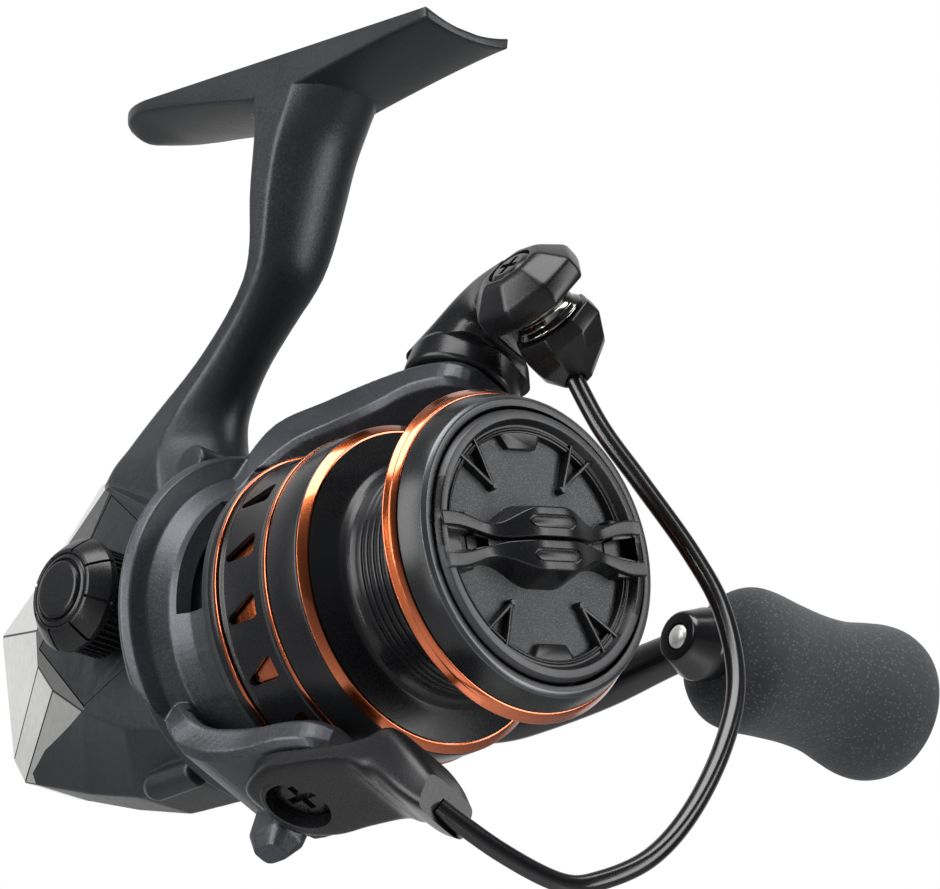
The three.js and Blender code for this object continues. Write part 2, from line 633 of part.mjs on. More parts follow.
// Rings of a leaning arm: centre, half sizes, and the tilt of the section from flat (0) to upright (1).
const BAIL_ARM = [
  [[0, 25.6, 38], 6.8, 6.6, 0],
  [[-1.2, 23, 40.2], 5.9, 5, 0.15],
  [[-3.2, 19.6, 41.4], 4.8, 4, 0.5],
  [[-4.9, 16, 41.4], 4.3, 3.4, 0.9],
  [[-6, 12, 41.2], 4, 3.3, 1],
];
function bailArm() {
  const rings = BAIL_ARM.map(([centre, halfWidth, halfDepth, upright]) => {
    const tilt = (upright * Math.PI) / 2;
    const depthAxis = new THREE.Vector3(0, Math.cos(tilt), Math.sin(tilt));
    return oval(halfWidth, halfDepth, 3.4, 16).map(([a, b]) => new THREE.Vector3(...centre)
      .add(new THREE.Vector3(a, 0, 0)).addScaledVector(depthAxis, b));
  });
  const hub = turned([[0, 34.5], [7, 34.5], [7.4, 34.9], [7.4, 38.2], [6.9, 39.2], [0, 39.5]], 28)
    .rotateX(Math.PI / 2).translate(0, PIVOT.y, 0);
  const cap = onRollerAxis(turned([[0, 0], [3.6, 0], [7.2, 3.2], [6.9, 5.6], [0, 5.6]], 8));
  const screwHole = onRollerAxis(turned([[0, -1], [3.1, -1], [3.1, 1.5], [1.6, 1.5], [1.6, 9], [0, 9]], 20));
  const rollerRoom = onRollerAxis(rod(8.5, 5.65, 15, 24));
  const pinHole = rod(2.05, 30, 38.3, 16).rotateX(Math.PI / 2).translate(0, PIVOT.y, 0);
  return cut(join(hub, loft(rings), cap), screwHole, rollerRoom, pinHole);
}
piece("bail_arm", bailArm(), satinBlack, turning);
const rollerShape = turned([
  [2.5, 5.85], [4.7, 5.85], [4.7, 6.3], [4.1, 6.8], [4.1, 7.6], [4.7, 8.2], [4.7, 8.5], [2.5, 8.5],
], 22, true);
piece("line_roller", onRollerAxis(rollerShape), chrome, turning);
piece("roller_bush", onRollerAxis(ring(1.65, 2.35, 5.85, 8.6, 20)), brass, turning);
const outwards = ROLLER.direction.map((value) => -value);
piece("roller_screw", aimed(screw(2.9, 1.3, 1.45, 11.6), outwards, rollerPoint(0.1)), steel, turning);

// The faceted cone beside the roller, which narrows and leans until the wire leaves it.
const CONE = [
  [rollerPoint(8.75), ROLLER.direction, 5.5],
  [rollerPoint(10.8), ROLLER.direction, 6],
  [[3.6, 9, 36.8], [0.8, -0.25, -0.5], 4.9],
  [[4.7, 8.6, 34.4], [0.5, -0.4, -0.77], 2],
];
function bailCone() {
  const rings = CONE.map(([centre, direction, radius]) => {
    const along = new THREE.Vector3(...direction).normalize();
    const side = new THREE.Vector3(0, 1, 0).cross(along).normalize();
    const up = along.clone().cross(side);
    return oval(radius, radius, 2, 8).map(([a, b]) => new THREE.Vector3(...centre)
      .addScaledVector(side, a).addScaledVector(up, b));
  });
  return cut(
    loft(rings),
    onRollerAxis(rod(1.6, 5, 12.4, 16)),
    wireSocket(WIRE[0], WIRE[1]),
  );
}

const WIRE = [
  [3.5, 9.6, 35.7], [8.6, 6, 28.7], [14.5, 2.3, 23.1], [21.9, -2.4, 15.9], [26.9, -5.9, 9.1],
  [30.1, -8.9, -0.5], [30.2, -10.6, -10.9], [28.3, -11.5, -22.5], [25.1, -11.3, -31.6],
  [20.3, -10, -38.1], [16.2, -8.4, -40.9], [9.1, -5, -40.5], [1.4, -0.9, -38.2],
];
// The blind hole that an end of the wire sits in.
function wireSocket(end, next) {
  const along = next.map((value, i) => value - end[i]);
  return aimed(rod(WIRE_RADIUS + 0.2, -0.3, 6, 12), along, end);
}
piece("bail_cone", bailCone(), satinBlack, turning);
piece("bail_wire", tube(WIRE, WIRE_RADIUS, 36, 7), glossBlack, turning);

// Holder stations: y, middle x, half width, inner z, outer z.
const HOLDER = [
  [32.9, 0, 2.6, -27.4, -29.6],
  [31, 0, 5, -27.4, -30.6],
  [26, 0, 6.9, -27.4, -31],
  [20, 0.2, 6.8, -28.3, -31.3],
  [13, 0.6, 6.4, -28.6, -32.3],
  [8, 1.2, 6.1, -29.2, -34.6],
  [3, 1.8, 5.2, -31.4, -38],
  [-1, 2.2, 3.8, -35.2, -40.3],
];
function bailHolder() {
  const rings = HOLDER.map(([y, x, halfWidth, inner, outer]) => oval(halfWidth, (inner - outer) / 2, 3.6, 16)
    .map(([a, b]) => new THREE.Vector3(x + a, y, (inner + outer) / 2 + b)));
  const recess = turned([[0, 1.2], [4.2, 1.2], [4.2, 6], [0, 6]], 24).rotateX(-Math.PI / 2);
  const hole = rod(2.05, -2, 4, 16).rotateX(-Math.PI / 2);
  return cut(
    loft(rings),
    recess.translate(0, PIVOT.y, PIVOT.bottom),
    hole.translate(0, PIVOT.y, PIVOT.bottom),
    wireSocket(WIRE[WIRE.length - 1], WIRE[WIRE.length - 2]),
  );
}
piece("bail_holder", bailHolder(), satinBlack, turning);

// ---- Spool ----
function spool() {
  const outline = [
    [18.3, -3.5], [18.8, -3.2], [19.9, -0.1], [19.2, -0.1], [19.2, 1.7], [20.6, 1.7], [19.6, 2.3],
    [ARBOR_RADIUS, 2.6], [ARBOR_RADIUS, 14.4], [16, 15.4], [19.6, 16.1], [19.2, 16.1], [19.2, 17.2],
    [20.6, 17.2], [SKIRT_RADIUS, 17.4], [SKIRT_RADIUS, 35], [20.1, 35.3], [19.7, 35], [19.7, 18.4],
    [13.4, 17], [1.4, 17], [1.4, 10], [12.7, 10], [12.7, 1.6], [17.4, 1.2], [17.4, -3.5],
  ];
  const windows = [];
  for (let i = 0; i < 16; i += 1) {
    windows.push(box([17, 23], [25.6, 30.6], [-1.6, 1.6]).rotateY((2 * Math.PI * (i + 0.37)) / 16));
  }
  const grooves = [22.5, 31.6].map((y) => ring(20.3, 23, y, y + 0.8, 28));
  return cut(turned(outline, 28, true), ...windows, ...grooves);
}
piece("spool", spool(), satinBlack);
piece("lip_ring", turned([[19.3, 0], [20, 0], [LIP_RADIUS, 1.5], [19.3, 1.6]], 28, true), orange);
piece("skirt_ring", turned([[19.3, 16.2], [19.75, 16.2], [20.7, 17.1], [19.3, 17.1]], 28, true), orange);
piece("skirt_line_front", ring(20.45, 20.85, 22.6, 23.2, 28), orange);
piece("skirt_line_rear", ring(20.45, 20.85, 31.7, 32.3, 28), orange);
piece("click_wheel", cut(ring(1.5, 9, 17.2, 18.2, 20), box([-3.7, 3.7], [17, 19], [-0.8, 0.8])), satinBlack);

// The drag stack in the spool's front bore, from the floor outwards.
for (const [name, low, look] of [
  ["drag_felt_1", 9.1, felt],
  ["drag_disc_1", 8.2, steel],
  ["drag_felt_2", 7.3, felt],
  ["drag_disc_2", 6.4, steel],
]) {
  piece(name, ring(2.2, 12.3, low, low + 0.75, 20), look);
}
function dragClip() {
  const start = 0.25;
  const points = [];
  for (let i = 0; i <= 20; i += 1) {
    const angle = start + ((2 * Math.PI - 2 * start) * i) / 20;
    points.push([12.1 * Math.cos(angle), 5.6, 12.1 * Math.sin(angle)]);
  }
  return tube(points, 0.4, 24, 5);
}
piece("drag_clip", dragClip(), steel);

// ---- Drag knob ----
// One of the two ridges of the grip bar: it swells and rises towards the middle.
function gripRidge(side) {
  const rings = [];
  for (let i = 0; i <= 12; i += 1) {
    const x = -16.4 + (32.8 * i) / 12;
    const middle = Math.abs(x) < 9 ? 0.5 + 0.5 * Math.cos((Math.PI * x) / 9) : 0;
    const offset = 2.05 + 0.9 * middle;
    const half = 0.85 + 0.9 * middle;
    const front = -4.9 - 4.2 * middle;
    rings.push([[-half, -2], [half, -2], [half * 0.75, front], [-half * 0.75, front]]
      .map(([z, y]) => new THREE.Vector3(x, y, side * offset + z)));
  }
  return cut(loft(rings), box([-3.6, 3.6], [-10, -7.2], [side * 2.9 - 0.55, side * 2.9 + 0.55]));
}
function dragKnob() {
  const base = turned([
    [0, -0.8], [16.6, -0.8], [17, -1.4], [17, -3.2], [16.5, -4.2], [15, -4.2], [14.9, -3.4],
    [14.2, -3.4], [14.1, -2.3], [0, -2.3],
  ], 28);
  const plunger = turned([[0, -1], [6.4, -1], [6.4, 6.2], [0, 6.2]], 24);
  const bore = rod(1.5, -3, 8, 16);
  const nutSeat = plate(oval(3.6, 3.6, 2, 6), 6).rotateX(-Math.PI / 2).translate(0, 1.2, 0);
  const ribs = [];
  for (const angle of [0.9, Math.PI - 0.9, Math.PI + 0.9, -0.9]) {
    for (const lean of [-0.27, 0.27]) {
      const rib = box([-2.7, 2.7], [-3.9, -2.2], [-0.3, 0.3]).rotateY(lean).translate(11.8, 0, -lean * 2.6);
      ribs.push(rib.rotateY(angle));
    }
  }
  const tab = [[-4.6, 14.3], [4.6, 14.3], [2.8, 11.8], [-2.8, 11.8]];
  const tabs = [1, -1].map((side) => loft([-2.2, -3.3].map((y) => (
    tab.map(([x, z]) => new THREE.Vector3(x, y, side * z))
  ))));
  const bridge = box([-16.2, 16.2], [-3.4, -2], [-2.4, 2.4]);
  const knob = cut(join(base, plunger, gripRidge(1), gripRidge(-1), bridge, ...ribs, ...tabs), bore, nutSeat);
  return knob.rotateY(KNOB_ANGLE);
}
piece("drag_knob", dragKnob(), satinBlack);
const nutShape = plate(oval(3.4, 3.4, 2, 6), 2.2).rotateX(-Math.PI / 2).translate(0, 1.4, 0);
piece("drag_nut", cut(nutShape, rod(1.4, 0, 6, 16)).rotateY(KNOB_ANGLE), brass);
piece("drag_seal", ring(15.4, 17.1, -0.6, 0.4, 24), felt);

export default reel;
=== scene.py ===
"""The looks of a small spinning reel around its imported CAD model.
Shapes are drawn in millimetres in the spool frame: the row frame's axes, with the origin on the spool axis
at the front edge of the lip. Pieces of the rotor are drawn in a frame turned until +Z meets the bail arm.
"""
import json
import math

import bmesh
import bpy
import numpy as np
from mathutils import Matrix, Vector
from mathutils.geometry import intersect_point_line


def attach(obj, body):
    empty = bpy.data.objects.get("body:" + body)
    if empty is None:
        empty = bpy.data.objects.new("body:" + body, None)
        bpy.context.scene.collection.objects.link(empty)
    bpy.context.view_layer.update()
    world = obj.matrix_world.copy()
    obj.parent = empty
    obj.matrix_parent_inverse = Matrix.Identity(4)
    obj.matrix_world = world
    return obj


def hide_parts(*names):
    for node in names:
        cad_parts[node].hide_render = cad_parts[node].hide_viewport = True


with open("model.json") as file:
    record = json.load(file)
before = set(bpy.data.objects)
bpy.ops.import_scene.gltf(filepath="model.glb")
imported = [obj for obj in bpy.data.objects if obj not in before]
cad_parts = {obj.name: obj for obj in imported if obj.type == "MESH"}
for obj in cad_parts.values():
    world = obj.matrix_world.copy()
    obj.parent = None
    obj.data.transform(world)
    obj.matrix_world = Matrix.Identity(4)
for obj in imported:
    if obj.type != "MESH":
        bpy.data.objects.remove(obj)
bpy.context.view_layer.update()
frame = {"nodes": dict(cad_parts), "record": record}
scene = bpy.context.scene

SEAT = Vector((0, 42, 75.5))
TO_ROW = Matrix.Scale(0.001, 4) @ Matrix.Translation(-SEAT)
TURNING = Matrix.Rotation(math.radians(22), 4, "Y")
KNOB_TURN = Matrix.Rotation(math.radians(-13), 4, "Y")  # how the drag knob stands in the photo
MIDDLE = Vector((0.02, 0, -0.06))  # middle of the reel in the row frame, metres
DRIVE = (0, 62.5, 6.8)  # axis of the crank
CRANK = (0, 20.8, 7.1)  # axis of the crank's knob
OSCILLATION = (0, 75, 0.5)  # axis of the oscillation gear
PIVOT_Y = 26  # the bail turns about Z here
PIVOT_BOTTOM = -27.1
ROLLER_START = Vector((-10.1, 9.2, 41.3))  # outer face of the roller cap
ROLLER_DIRECTION = Vector((0.968, 0, -0.251)).normalized()
FINE = 128  # segments of the large turned pieces
MEDIUM = 64
SMALL = 32


# ---- Meshes ----
def shape(name, vertices, faces):
    mesh = bpy.data.meshes.new(name)
    mesh.from_pydata([tuple(v) for v in vertices], [], faces)
    bm = bmesh.new()
    bm.from_mesh(mesh)
    bmesh.ops.remove_doubles(bm, verts=bm.verts, dist=1e-5)
    bmesh.ops.recalc_face_normals(bm, faces=bm.faces)
    bm.to_mesh(mesh)
    bm.free()
    piece = bpy.data.objects.new(name, mesh)
    scene.collection.objects.link(piece)
    return piece


def apply_modifiers(piece):
    bpy.context.view_layer.update()
    evaluated = piece.evaluated_get(bpy.context.evaluated_depsgraph_get())
    mesh = bpy.data.meshes.new_from_object(evaluated)
    piece.modifiers.clear()
    piece.data = mesh
    return piece


def boolean(operation, piece, *tools):
    for tool in tools:
        modifier = piece.modifiers.new("boolean", "BOOLEAN")
        modifier.operation = operation
        modifier.solver = "MANIFOLD"
        modifier.object = tool
        apply_modifiers(piece)
        if not len(piece.data.polygons):
            raise RuntimeError(f"{piece.name} is empty after {operation} with {tool.name}")
        bpy.data.objects.remove(tool)
    return piece


def join(piece, *tools):
    return boolean("UNION", piece, *tools)


def cut(piece, *tools):
    return boolean("DIFFERENCE", piece, *tools)


def melt(piece, voxel, passes, share):
    """Remeshes a union evenly, rounds its edges by about a voxel and keeps a share of the faces."""
    remesh = piece.modifiers.new("remesh", "REMESH")
    remesh.mode = "VOXEL"
    remesh.voxel_size = voxel
    smooth = piece.modifiers.new("smooth", "SMOOTH")
    smooth.factor = 0.5
    smooth.iterations = passes
    decimate = piece.modifiers.new("decimate", "DECIMATE")
    decimate.ratio = share
    apply_modifiers(piece)


def bevel(piece, width, segments=2, angle=30):
    modifier = piece.modifiers.new("bevel", "BEVEL")
    modifier.width = width
    modifier.segments = segments
    modifier.limit_method = "ANGLE"
    modifier.angle_limit = math.radians(angle)
    return apply_modifiers(piece)


def moved(piece, matrix):
    piece.data.transform(matrix)
    return piece


def aim(direction, at):
    turn = Vector((0, 1, 0)).rotation_difference(Vector(direction)).to_matrix().to_4x4()
    return Matrix.Translation(Vector(at)) @ turn


def rounded(points, radius, closed=False, steps=3):
    """A profile with each corner turned into a small arc."""
    out = []
    count = len(points)
    for i, point in enumerate(points):
        here = Vector(point)
        if not closed and i in (0, count - 1):
            out.append(tuple(here))
            continue
        before, after = Vector(points[i - 1]) - here, Vector(points[(i + 1) % count]) - here
        reach = min(radius, before.length * 0.45, after.length * 0.45)
        if reach < 1e-3 or before.angle(after) > math.radians(170):
            out.append(tuple(here))
            continue
        start, end = here + before.normalized() * reach, here + after.normalized() * reach
        for k in range(steps + 1):
            t = k / steps
            out.append(tuple(start * (1 - t) ** 2 + here * 2 * t * (1 - t) + end * t * t))
    return out


def lathe(profile, segments=MEDIUM, closed=False, radius=0.0):
    """A profile of (distance from the axis, y) turned about Y, with its corners rounded by the radius."""
    if radius:
        profile = rounded(profile, radius, closed)
    vertices, rows, faces = [], [], []
    for reach, y in profile:
        if reach < 1e-6:
            rows.append([len(vertices)] * segments)
            vertices.append((0, y, 0))
            continue
        rows.append([len(vertices) + i for i in range(segments)])
        for i in range(segments):
            angle = 2 * math.pi * i / segments
            vertices.append((reach * math.cos(angle), y, reach * math.sin(angle)))
    pairs = list(zip(rows, rows[1:])) + ([(rows[-1], rows[0])] if closed else [])
    for low, high in pairs:
        for i in range(segments):
            j = (i + 1) % segments
            corners = [low[i], low[j], high[j], high[i]]
            face = [c for k, c in enumerate(corners) if c != corners[k - 1]]
            if len(face) > 2:
                faces.append(face)
    return shape("lathe", vertices, faces)


def ring(inner, outer, low, high, segments, radius):
    return lathe([(inner, low), (outer, low), (outer, high), (inner, high)], segments, True, radius)


def rod(reach, low, high, segments=SMALL, radius=0.0):
    return lathe([(0, low), (reach, low), (reach, high), (0, high)], segments, False, radius)


def loft(rings):
    count = len(rings[0])
    vertices = [v for points in rings for v in points]
    faces = []
    for level in range(len(rings) - 1):
        for i in range(count):
            j = (i + 1) % count
            a, b = level * count + i, level * count + j
            faces.append((a, b, b + count, a + count))
    faces.append(tuple(reversed(range(count))))
    faces.append(tuple(range((len(rings) - 1) * count, len(rings) * count)))
    return shape("loft", vertices, faces)


def oval(half_a, half_b, power, count):
    """A superellipse: a power of 2 gives an ellipse, and a higher one squarer sides."""
    points = []
    for i in range(count):
        angle = 2 * math.pi * (i + 0.5) / count
        c, s = math.cos(angle), math.sin(angle)
        points.append((
            half_a * math.copysign(abs(c) ** (2 / power), c),
            half_b * math.copysign(abs(s) ** (2 / power), s),
        ))
    return points


def chamfered(half_a, half_b, corner):
    a, b = half_a - corner, half_b - corner
    return [
        (half_a, -b), (half_a, b), (a, half_b), (-a, half_b),
        (-half_a, b), (-half_a, -b), (-a, -half_b), (a, -half_b),
    ]


def refined(stations, steps):
    """Rows of numbers with smooth rows put between them."""
    rows = np.array(stations, float)
    out = []
    last = len(rows) - 1
    for i in range(last):
        before, start, end, after = rows[max(0, i - 1)], rows[i], rows[i + 1], rows[min(last, i + 2)]
        for k in range(steps):
            t = k / steps
            out.append(0.5 * (
                2 * start + (end - before) * t
                + (2 * before - 5 * start + 4 * end - after) * t ** 2
                + (3 * start - before - 3 * end + after) * t ** 3
            ))
    out.append(rows[-1])
    return out


def tube(points, reach, steps, sides):
    path = [Vector(p) for p in refined(points, steps)]
    angles = [2 * math.pi * k / sides for k in range(sides)]
    side = None
    rings = []
    for i, centre in enumerate(path):
        along = (path[min(i + 1, len(path) - 1)] - path[max(i - 1, 0)]).normalized()
        side = (along.orthogonal() if side is None else side - along * side.dot(along)).normalized()
        up = along.cross(side)
        rings.append([centre + side * reach * math.cos(a) + up * reach * math.sin(a) for a in angles])
    return loft(rings)


def block(x, y, z):
    corners = [(x[i], y[j], z[k]) for i in (0, 1) for j in (0, 1) for k in (0, 1)]
    return shape("block", corners, [
        (0, 1, 3, 2), (4, 6, 7, 5), (0, 4, 5, 1), (2, 3, 7, 6), (0, 2, 6, 4), (1, 5, 7, 3),
    ])


def across_x(outline, x0, x1):
    """An outline of (y, z) extruded along X."""
    return loft([[Vector((x, y, z)) for y, z in outline] for x in (x0, x1)])


def grown(outline, distance):
    middle = Vector((sum(p[0] for p in outline), sum(p[1] for p in outline))) / len(outline)
    out = []
    for point in outline:
        reach = Vector(point) - middle
        out.append(tuple(middle + reach * (1 + distance / reach.length)))
    return out


# ---- Materials ----
def finish_of(name, dark, light, roughness, metallic, grain, bump, flakes=0.0, wear_and_edge_highlight=0.0, coat=0.0,
              spread=0.08, lathe_marks=False, sheen=0.0, specular=0.5):
    """A procedural finish: broad colour drift, grain in colour, roughness and bump, flakes, and convex edges
    made lighter as partly wear and partly painted highlight.
    """
    material = bpy.data.materials.new(name)
    material.use_nodes = True
    tree = material.node_tree
    nodes, links = tree.nodes, tree.links
    shader = nodes["Principled BSDF"]
    place = nodes.new("ShaderNodeTexCoord")
    coordinates = place.outputs["Object"]
    if lathe_marks:
        stretch = nodes.new("ShaderNodeMapping")
        stretch.inputs["Scale"].default_value = (0.04, 1, 0.04)
        links.new(coordinates, stretch.inputs["Vector"])
        fine_from = stretch.outputs["Vector"]
    else:
        fine_from = coordinates

    broad = nodes.new("ShaderNodeTexNoise")
    broad.inputs["Scale"].default_value = 90
    broad.inputs["Detail"].default_value = 3
    links.new(coordinates, broad.inputs["Vector"])
    fine = nodes.new("ShaderNodeTexNoise")
    fine.inputs["Scale"].default_value = grain
    fine.inputs["Detail"].default_value = 4
    links.new(fine_from, fine.inputs["Vector"])

    blend = nodes.new("ShaderNodeMath")
    blend.operation = "MULTIPLY_ADD"
    blend.inputs[1].default_value = 0.45
    links.new(broad.outputs["Fac"], blend.inputs[0])
    half = nodes.new("ShaderNodeMath")
    half.operation = "MULTIPLY"
    half.inputs[1].default_value = 0.55
    links.new(fine.outputs["Fac"], half.inputs[0])
    links.new(half.outputs[0], blend.inputs[2])
    tint = nodes.new("ShaderNodeValToRGB")
    tint.color_ramp.elements[0].position = 0.34
    tint.color_ramp.elements[0].color = (*dark, 1)
    tint.color_ramp.elements[1].position = 0.66
    tint.color_ramp.elements[1].color = (*light, 1)
    links.new(blend.outputs[0], tint.inputs["Fac"])
    colour = tint.outputs["Color"]

    if flakes:
        dots = nodes.new("ShaderNodeTexVoronoi")
        dots.inputs["Scale"].default_value = grain * 1.3
        links.new(coordinates, dots.inputs["Vector"])
        pick = nodes.new("ShaderNodeMapRange")
        pick.inputs["From Min"].default_value = 0.34
        pick.inputs["From Max"].default_value = 0.12
        pick.inputs["To Max"].default_value = flakes
        links.new(dots.outputs["Distance"], pick.inputs["Value"])
        mixed = nodes.new("ShaderNodeMix")
        mixed.data_type = "RGBA"
        links.new(pick.outputs["Result"], mixed.inputs["Factor"])
        links.new(colour, mixed.inputs["A"])
        mixed.inputs["B"].default_value = tuple(min(1, c * 3.2 + 0.03) for c in light) + (1,)
        colour = mixed.outputs["Result"]
    # Convex edges lighter by pointiness: partly wear, partly a painted edge highlight.
    if wear_and_edge_highlight:
        shape_of = nodes.new("ShaderNodeNewGeometry")
        edge = nodes.new("ShaderNodeMapRange")
        edge.inputs["From Min"].default_value = 0.53
        edge.inputs["From Max"].default_value = 0.62
        edge.inputs["To Max"].default_value = wear_and_edge_highlight
        links.new(shape_of.outputs["Pointiness"], edge.inputs["Value"])
        worn_and_lit = nodes.new("ShaderNodeMix")
        worn_and_lit.data_type = "RGBA"
        links.new(edge.outputs["Result"], worn_and_lit.inputs["Factor"])
        links.new(colour, worn_and_lit.inputs["A"])
        worn_and_lit.inputs["B"].default_value = tuple(min(1, c * 2.6 + 0.05) for c in light) + (1,)
        colour = worn_and_lit.outputs["Result"]
    links.new(colour, shader.inputs["Base Color"])

    rough = nodes.new("ShaderNodeMapRange")
    rough.inputs["From Min"].default_value = 0.3
    rough.inputs["From Max"].default_value = 0.7
    rough.inputs["To Min"].default_value = max(0.02, roughness - spread)
    rough.inputs["To Max"].default_value = min(1, roughness + spread)
    links.new(blend.outputs[0], rough.inputs["Value"])
    links.new(rough.outputs["Result"], shader.inputs["Roughness"])
    relief = nodes.new("ShaderNodeBump")
    relief.inputs["Strength"].default_value = bump
    relief.inputs["Distance"].default_value = 0.00012
    links.new(fine.outputs["Fac"], relief.inputs["Height"])
    links.new(relief.outputs["Normal"], shader.inputs["Normal"])
    shader.inputs["Metallic"].default_value = metallic
    shader.inputs["Specular IOR Level"].default_value = specular
    if coat:
        shader.inputs["Coat Weight"].default_value = coat
        shader.inputs["Coat Roughness"].default_value = 0.08
    if sheen:
        shader.inputs["Sheen Weight"].default_value = sheen
        shader.inputs["Sheen Roughness"].default_value = 0.5
    return material


FINISHES = {
    "graphite": finish_of(
        "graphite_grain", (0.009, 0.0105, 0.0125), (0.015, 0.017, 0.020), 0.38, 0.05, 2600, 0.18,
        flakes=0.10, wear_and_edge_highlight=0.04, specular=0.34),
    "rotor_grey": finish_of(
        "rotor_flake", (0.026, 0.028, 0.033), (0.043, 0.046, 0.053), 0.36, 0.40, 3000, 0.14,
        flakes=0.30, wear_and_edge_highlight=0.10, specular=0.45),
    "satin_black": finish_of(
        "satin_black_grain", (0.005, 0.0052, 0.006), (0.008, 0.0084, 0.0096), 0.28, 0.0, 3200, 0.03,
        flakes=0.03, wear_and_edge_highlight=0.03, spread=0.03, specular=0.30),
    "gloss_black": finish_of(
        "gloss_black_paint", (0.004, 0.004, 0.005), (0.006, 0.006, 0.007), 0.21, 0.0, 1500, 0.0,
        spread=0.02),
    "orange_anodised": finish_of(
        "orange_anodised_turned", (0.46, 0.090, 0.020), (0.62, 0.150, 0.048), 0.20, 1.0, 1800, 0.03,
        coat=1.0, lathe_marks=True, spread=0.04),
    "bright_chrome": finish_of(
        "polished_chrome", (0.70, 0.70, 0.69), (0.84, 0.84, 0.83), 0.07, 1.0, 900, 0.01,
        spread=0.03),
    "steel": finish_of(
        "turned_steel", (0.40, 0.41, 0.43), (0.56, 0.57, 0.59), 0.26, 1.0, 2200, 0.08,
        lathe_marks=True),
    "brass": finish_of(
        "machined_brass", (0.50, 0.34, 0.12), (0.66, 0.47, 0.20), 0.30, 1.0, 2200, 0.08,
        lathe_marks=True),
    "foam": finish_of(
        "speckled_foam", (0.013, 0.0145, 0.017), (0.025, 0.0275, 0.031), 0.85, 0.0, 1500, 0.75,
        flakes=0.60, spread=0.06, sheen=0.12),
    "felt": finish_of(
        "pressed_felt", (0.10, 0.075, 0.05), (0.16, 0.125, 0.09), 0.95, 0.0, 5200, 0.9,
        sheen=0.3),
}
KNOB_FLOOR = finish_of(
    "knob_floor_speckle", (0.028, 0.029, 0.031), (0.075, 0.077, 0.080), 0.50, 0.3, 4200, 0.9,
    flakes=0.75)
KNOB_RIM = finish_of("knob_rim_grain", (0.020, 0.021, 0.023), (0.032, 0.033, 0.036), 0.40, 0.1, 3200, 0.12)
# A lighter grey painted on the spool's chamfers as their highlight.
CHAMFER_HIGHLIGHT_PAINT = finish_of(
    "painted_chamfer_highlight", (0.060, 0.062, 0.066), (0.095, 0.098, 0.105), 0.28, 0.7, 2600, 0.05,
    lathe_marks=True)
BLACK_SCREW = finish_of(
    "blackened_screw", (0.030, 0.030, 0.032), (0.050, 0.050, 0.053), 0.25, 0.8, 2200, 0.04,
    wear_and_edge_highlight=0.3)
SMOKED_CHROME = finish_of(
    "smoked_chrome", (0.17, 0.17, 0.16), (0.26, 0.26, 0.24), 0.12, 1.0, 900, 0.01,
    spread=0.03)
PIN_END = finish_of(
    "brushed_pin_end", (0.78, 0.78, 0.75), (0.88, 0.88, 0.85), 0.42, 0.85, 1500, 0.03,
    spread=0.05)
SEAM = finish_of("dark_seam", (0.010, 0.010, 0.011), (0.020, 0.020, 0.021), 0.35, 0.3, 2600, 0.05)


def everywhere(point, normal):
    return True


def paint(piece, second, chosen):
    """Gives the second material to the faces whose middle and normal are chosen."""
    piece.data.materials.append(second)
    index = len(piece.data.materials) - 1
    for face in piece.data.polygons:
        if chosen(face.center, face.normal):
            face.material_index = index


def settle(name, piece, body, slot, nodes, turning=False, angle=35, paints=()):
    """Names a finished shape, gives it its looks and puts it on its body in place of CAD nodes."""
    piece.name = name
    piece.data.name = name
    piece.data.materials.clear()
    piece.data.materials.append(FINISHES[slot])
    piece.data.polygons.foreach_set("material_index", [0] * len(piece.data.polygons))
    for second, chosen in paints:
        paint(piece, second, chosen)
    piece.data.transform(TO_ROW @ TURNING if turning else TO_ROW)
    piece.data.shade_smooth()
    piece.data.set_sharp_from_angle(angle=math.radians(angle))
    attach(piece, body)
    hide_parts(*nodes)


# ---- Body: housing, stem and foot ----
# Outlines of the housing as (y, z): RIDGE near the middle, and the smaller FACE on the flat sides.
RIDGE = [
    (47, 20), (74, 28.5), (83, 20.5), (93.2, 12.9), (89.8, -4.8),
    (87.4, -8.4), (75, -13), (65, -16), (54, -16.8), (47, -15.5),
]
FACE = [
    (47, 12), (65, 24), (72, 18.5), (78.2, 8), (77.6, 3),
    (74.5, -1), (68.4, -5.4), (60, -10), (53, -12), (47, -11),
]
# Each layer is (x, outline).
HOUSING_LAYERS = [(-11, FACE), (-4.5, RIDGE), (4.5, RIDGE), (11.5, FACE)]
FRAME_HOLLOW = [(-9.2, FACE), (-3.8, RIDGE), (3.8, RIDGE), (9.6, FACE)]
HOUSING_CORE = (66, 3)  # y and z of the point that the hollows shrink towards
COVER_OUTLINE = [(64.2, 22.4), (77.4, 5.4), (68.2, -4.6), (50.4, 2.4), (50.4, 9.6)]
BUMPER_LINE = [  # (y, z) of what belongs to the bumper
    (64.6, 23), (73.6, 28.7), (76, 40), (110, 40), (110, -30), (87, -30),
    (85, -7.9), (80.5, -6.4), (68, -5.2), (76, 4.2), (76, 6.4),
]
STEM = [  # z, front, rear, half width
    (20, 52, 76, 8), (27, 53.5, 74.6, 7.8), (31, 54.2, 70.6, 6.7), (35, 53.6, 66.2, 5.4),
    (40, 50.2, 59.4, 4.4), (45, 45.4, 53.2, 4.4), (49, 42, 49, 5), (53, 40.2, 47.3, 5.7),
    (59, 38.2, 47.2, 6.4), (65, 35.9, 47, 6.7), (69.5, 32.6, 47.6, 6.8), (73, 29.6, 49, 6.9),
]
BOW = 54  # half the arc of the stem's front and back, degrees
BOW_COSINE = 0.588  # cosine of BOW
HOUSING_LEFT, HOUSING_RIGHT = -14, 15  # past both sides of the housing
COVER_FLOOR = -9.1  # x of the seat of the side cover
FOOT_FRONT, FOOT_REAR, FOOT_HALF = 11, 72.8, 7


def housing(layers, scale):
    core_y, core_z = HOUSING_CORE
    return loft([
        [Vector((x, core_y + (y - core_y) * scale, core_z + (z - core_z) * scale)) for y, z in outline]
        for x, outline in layers
    ])


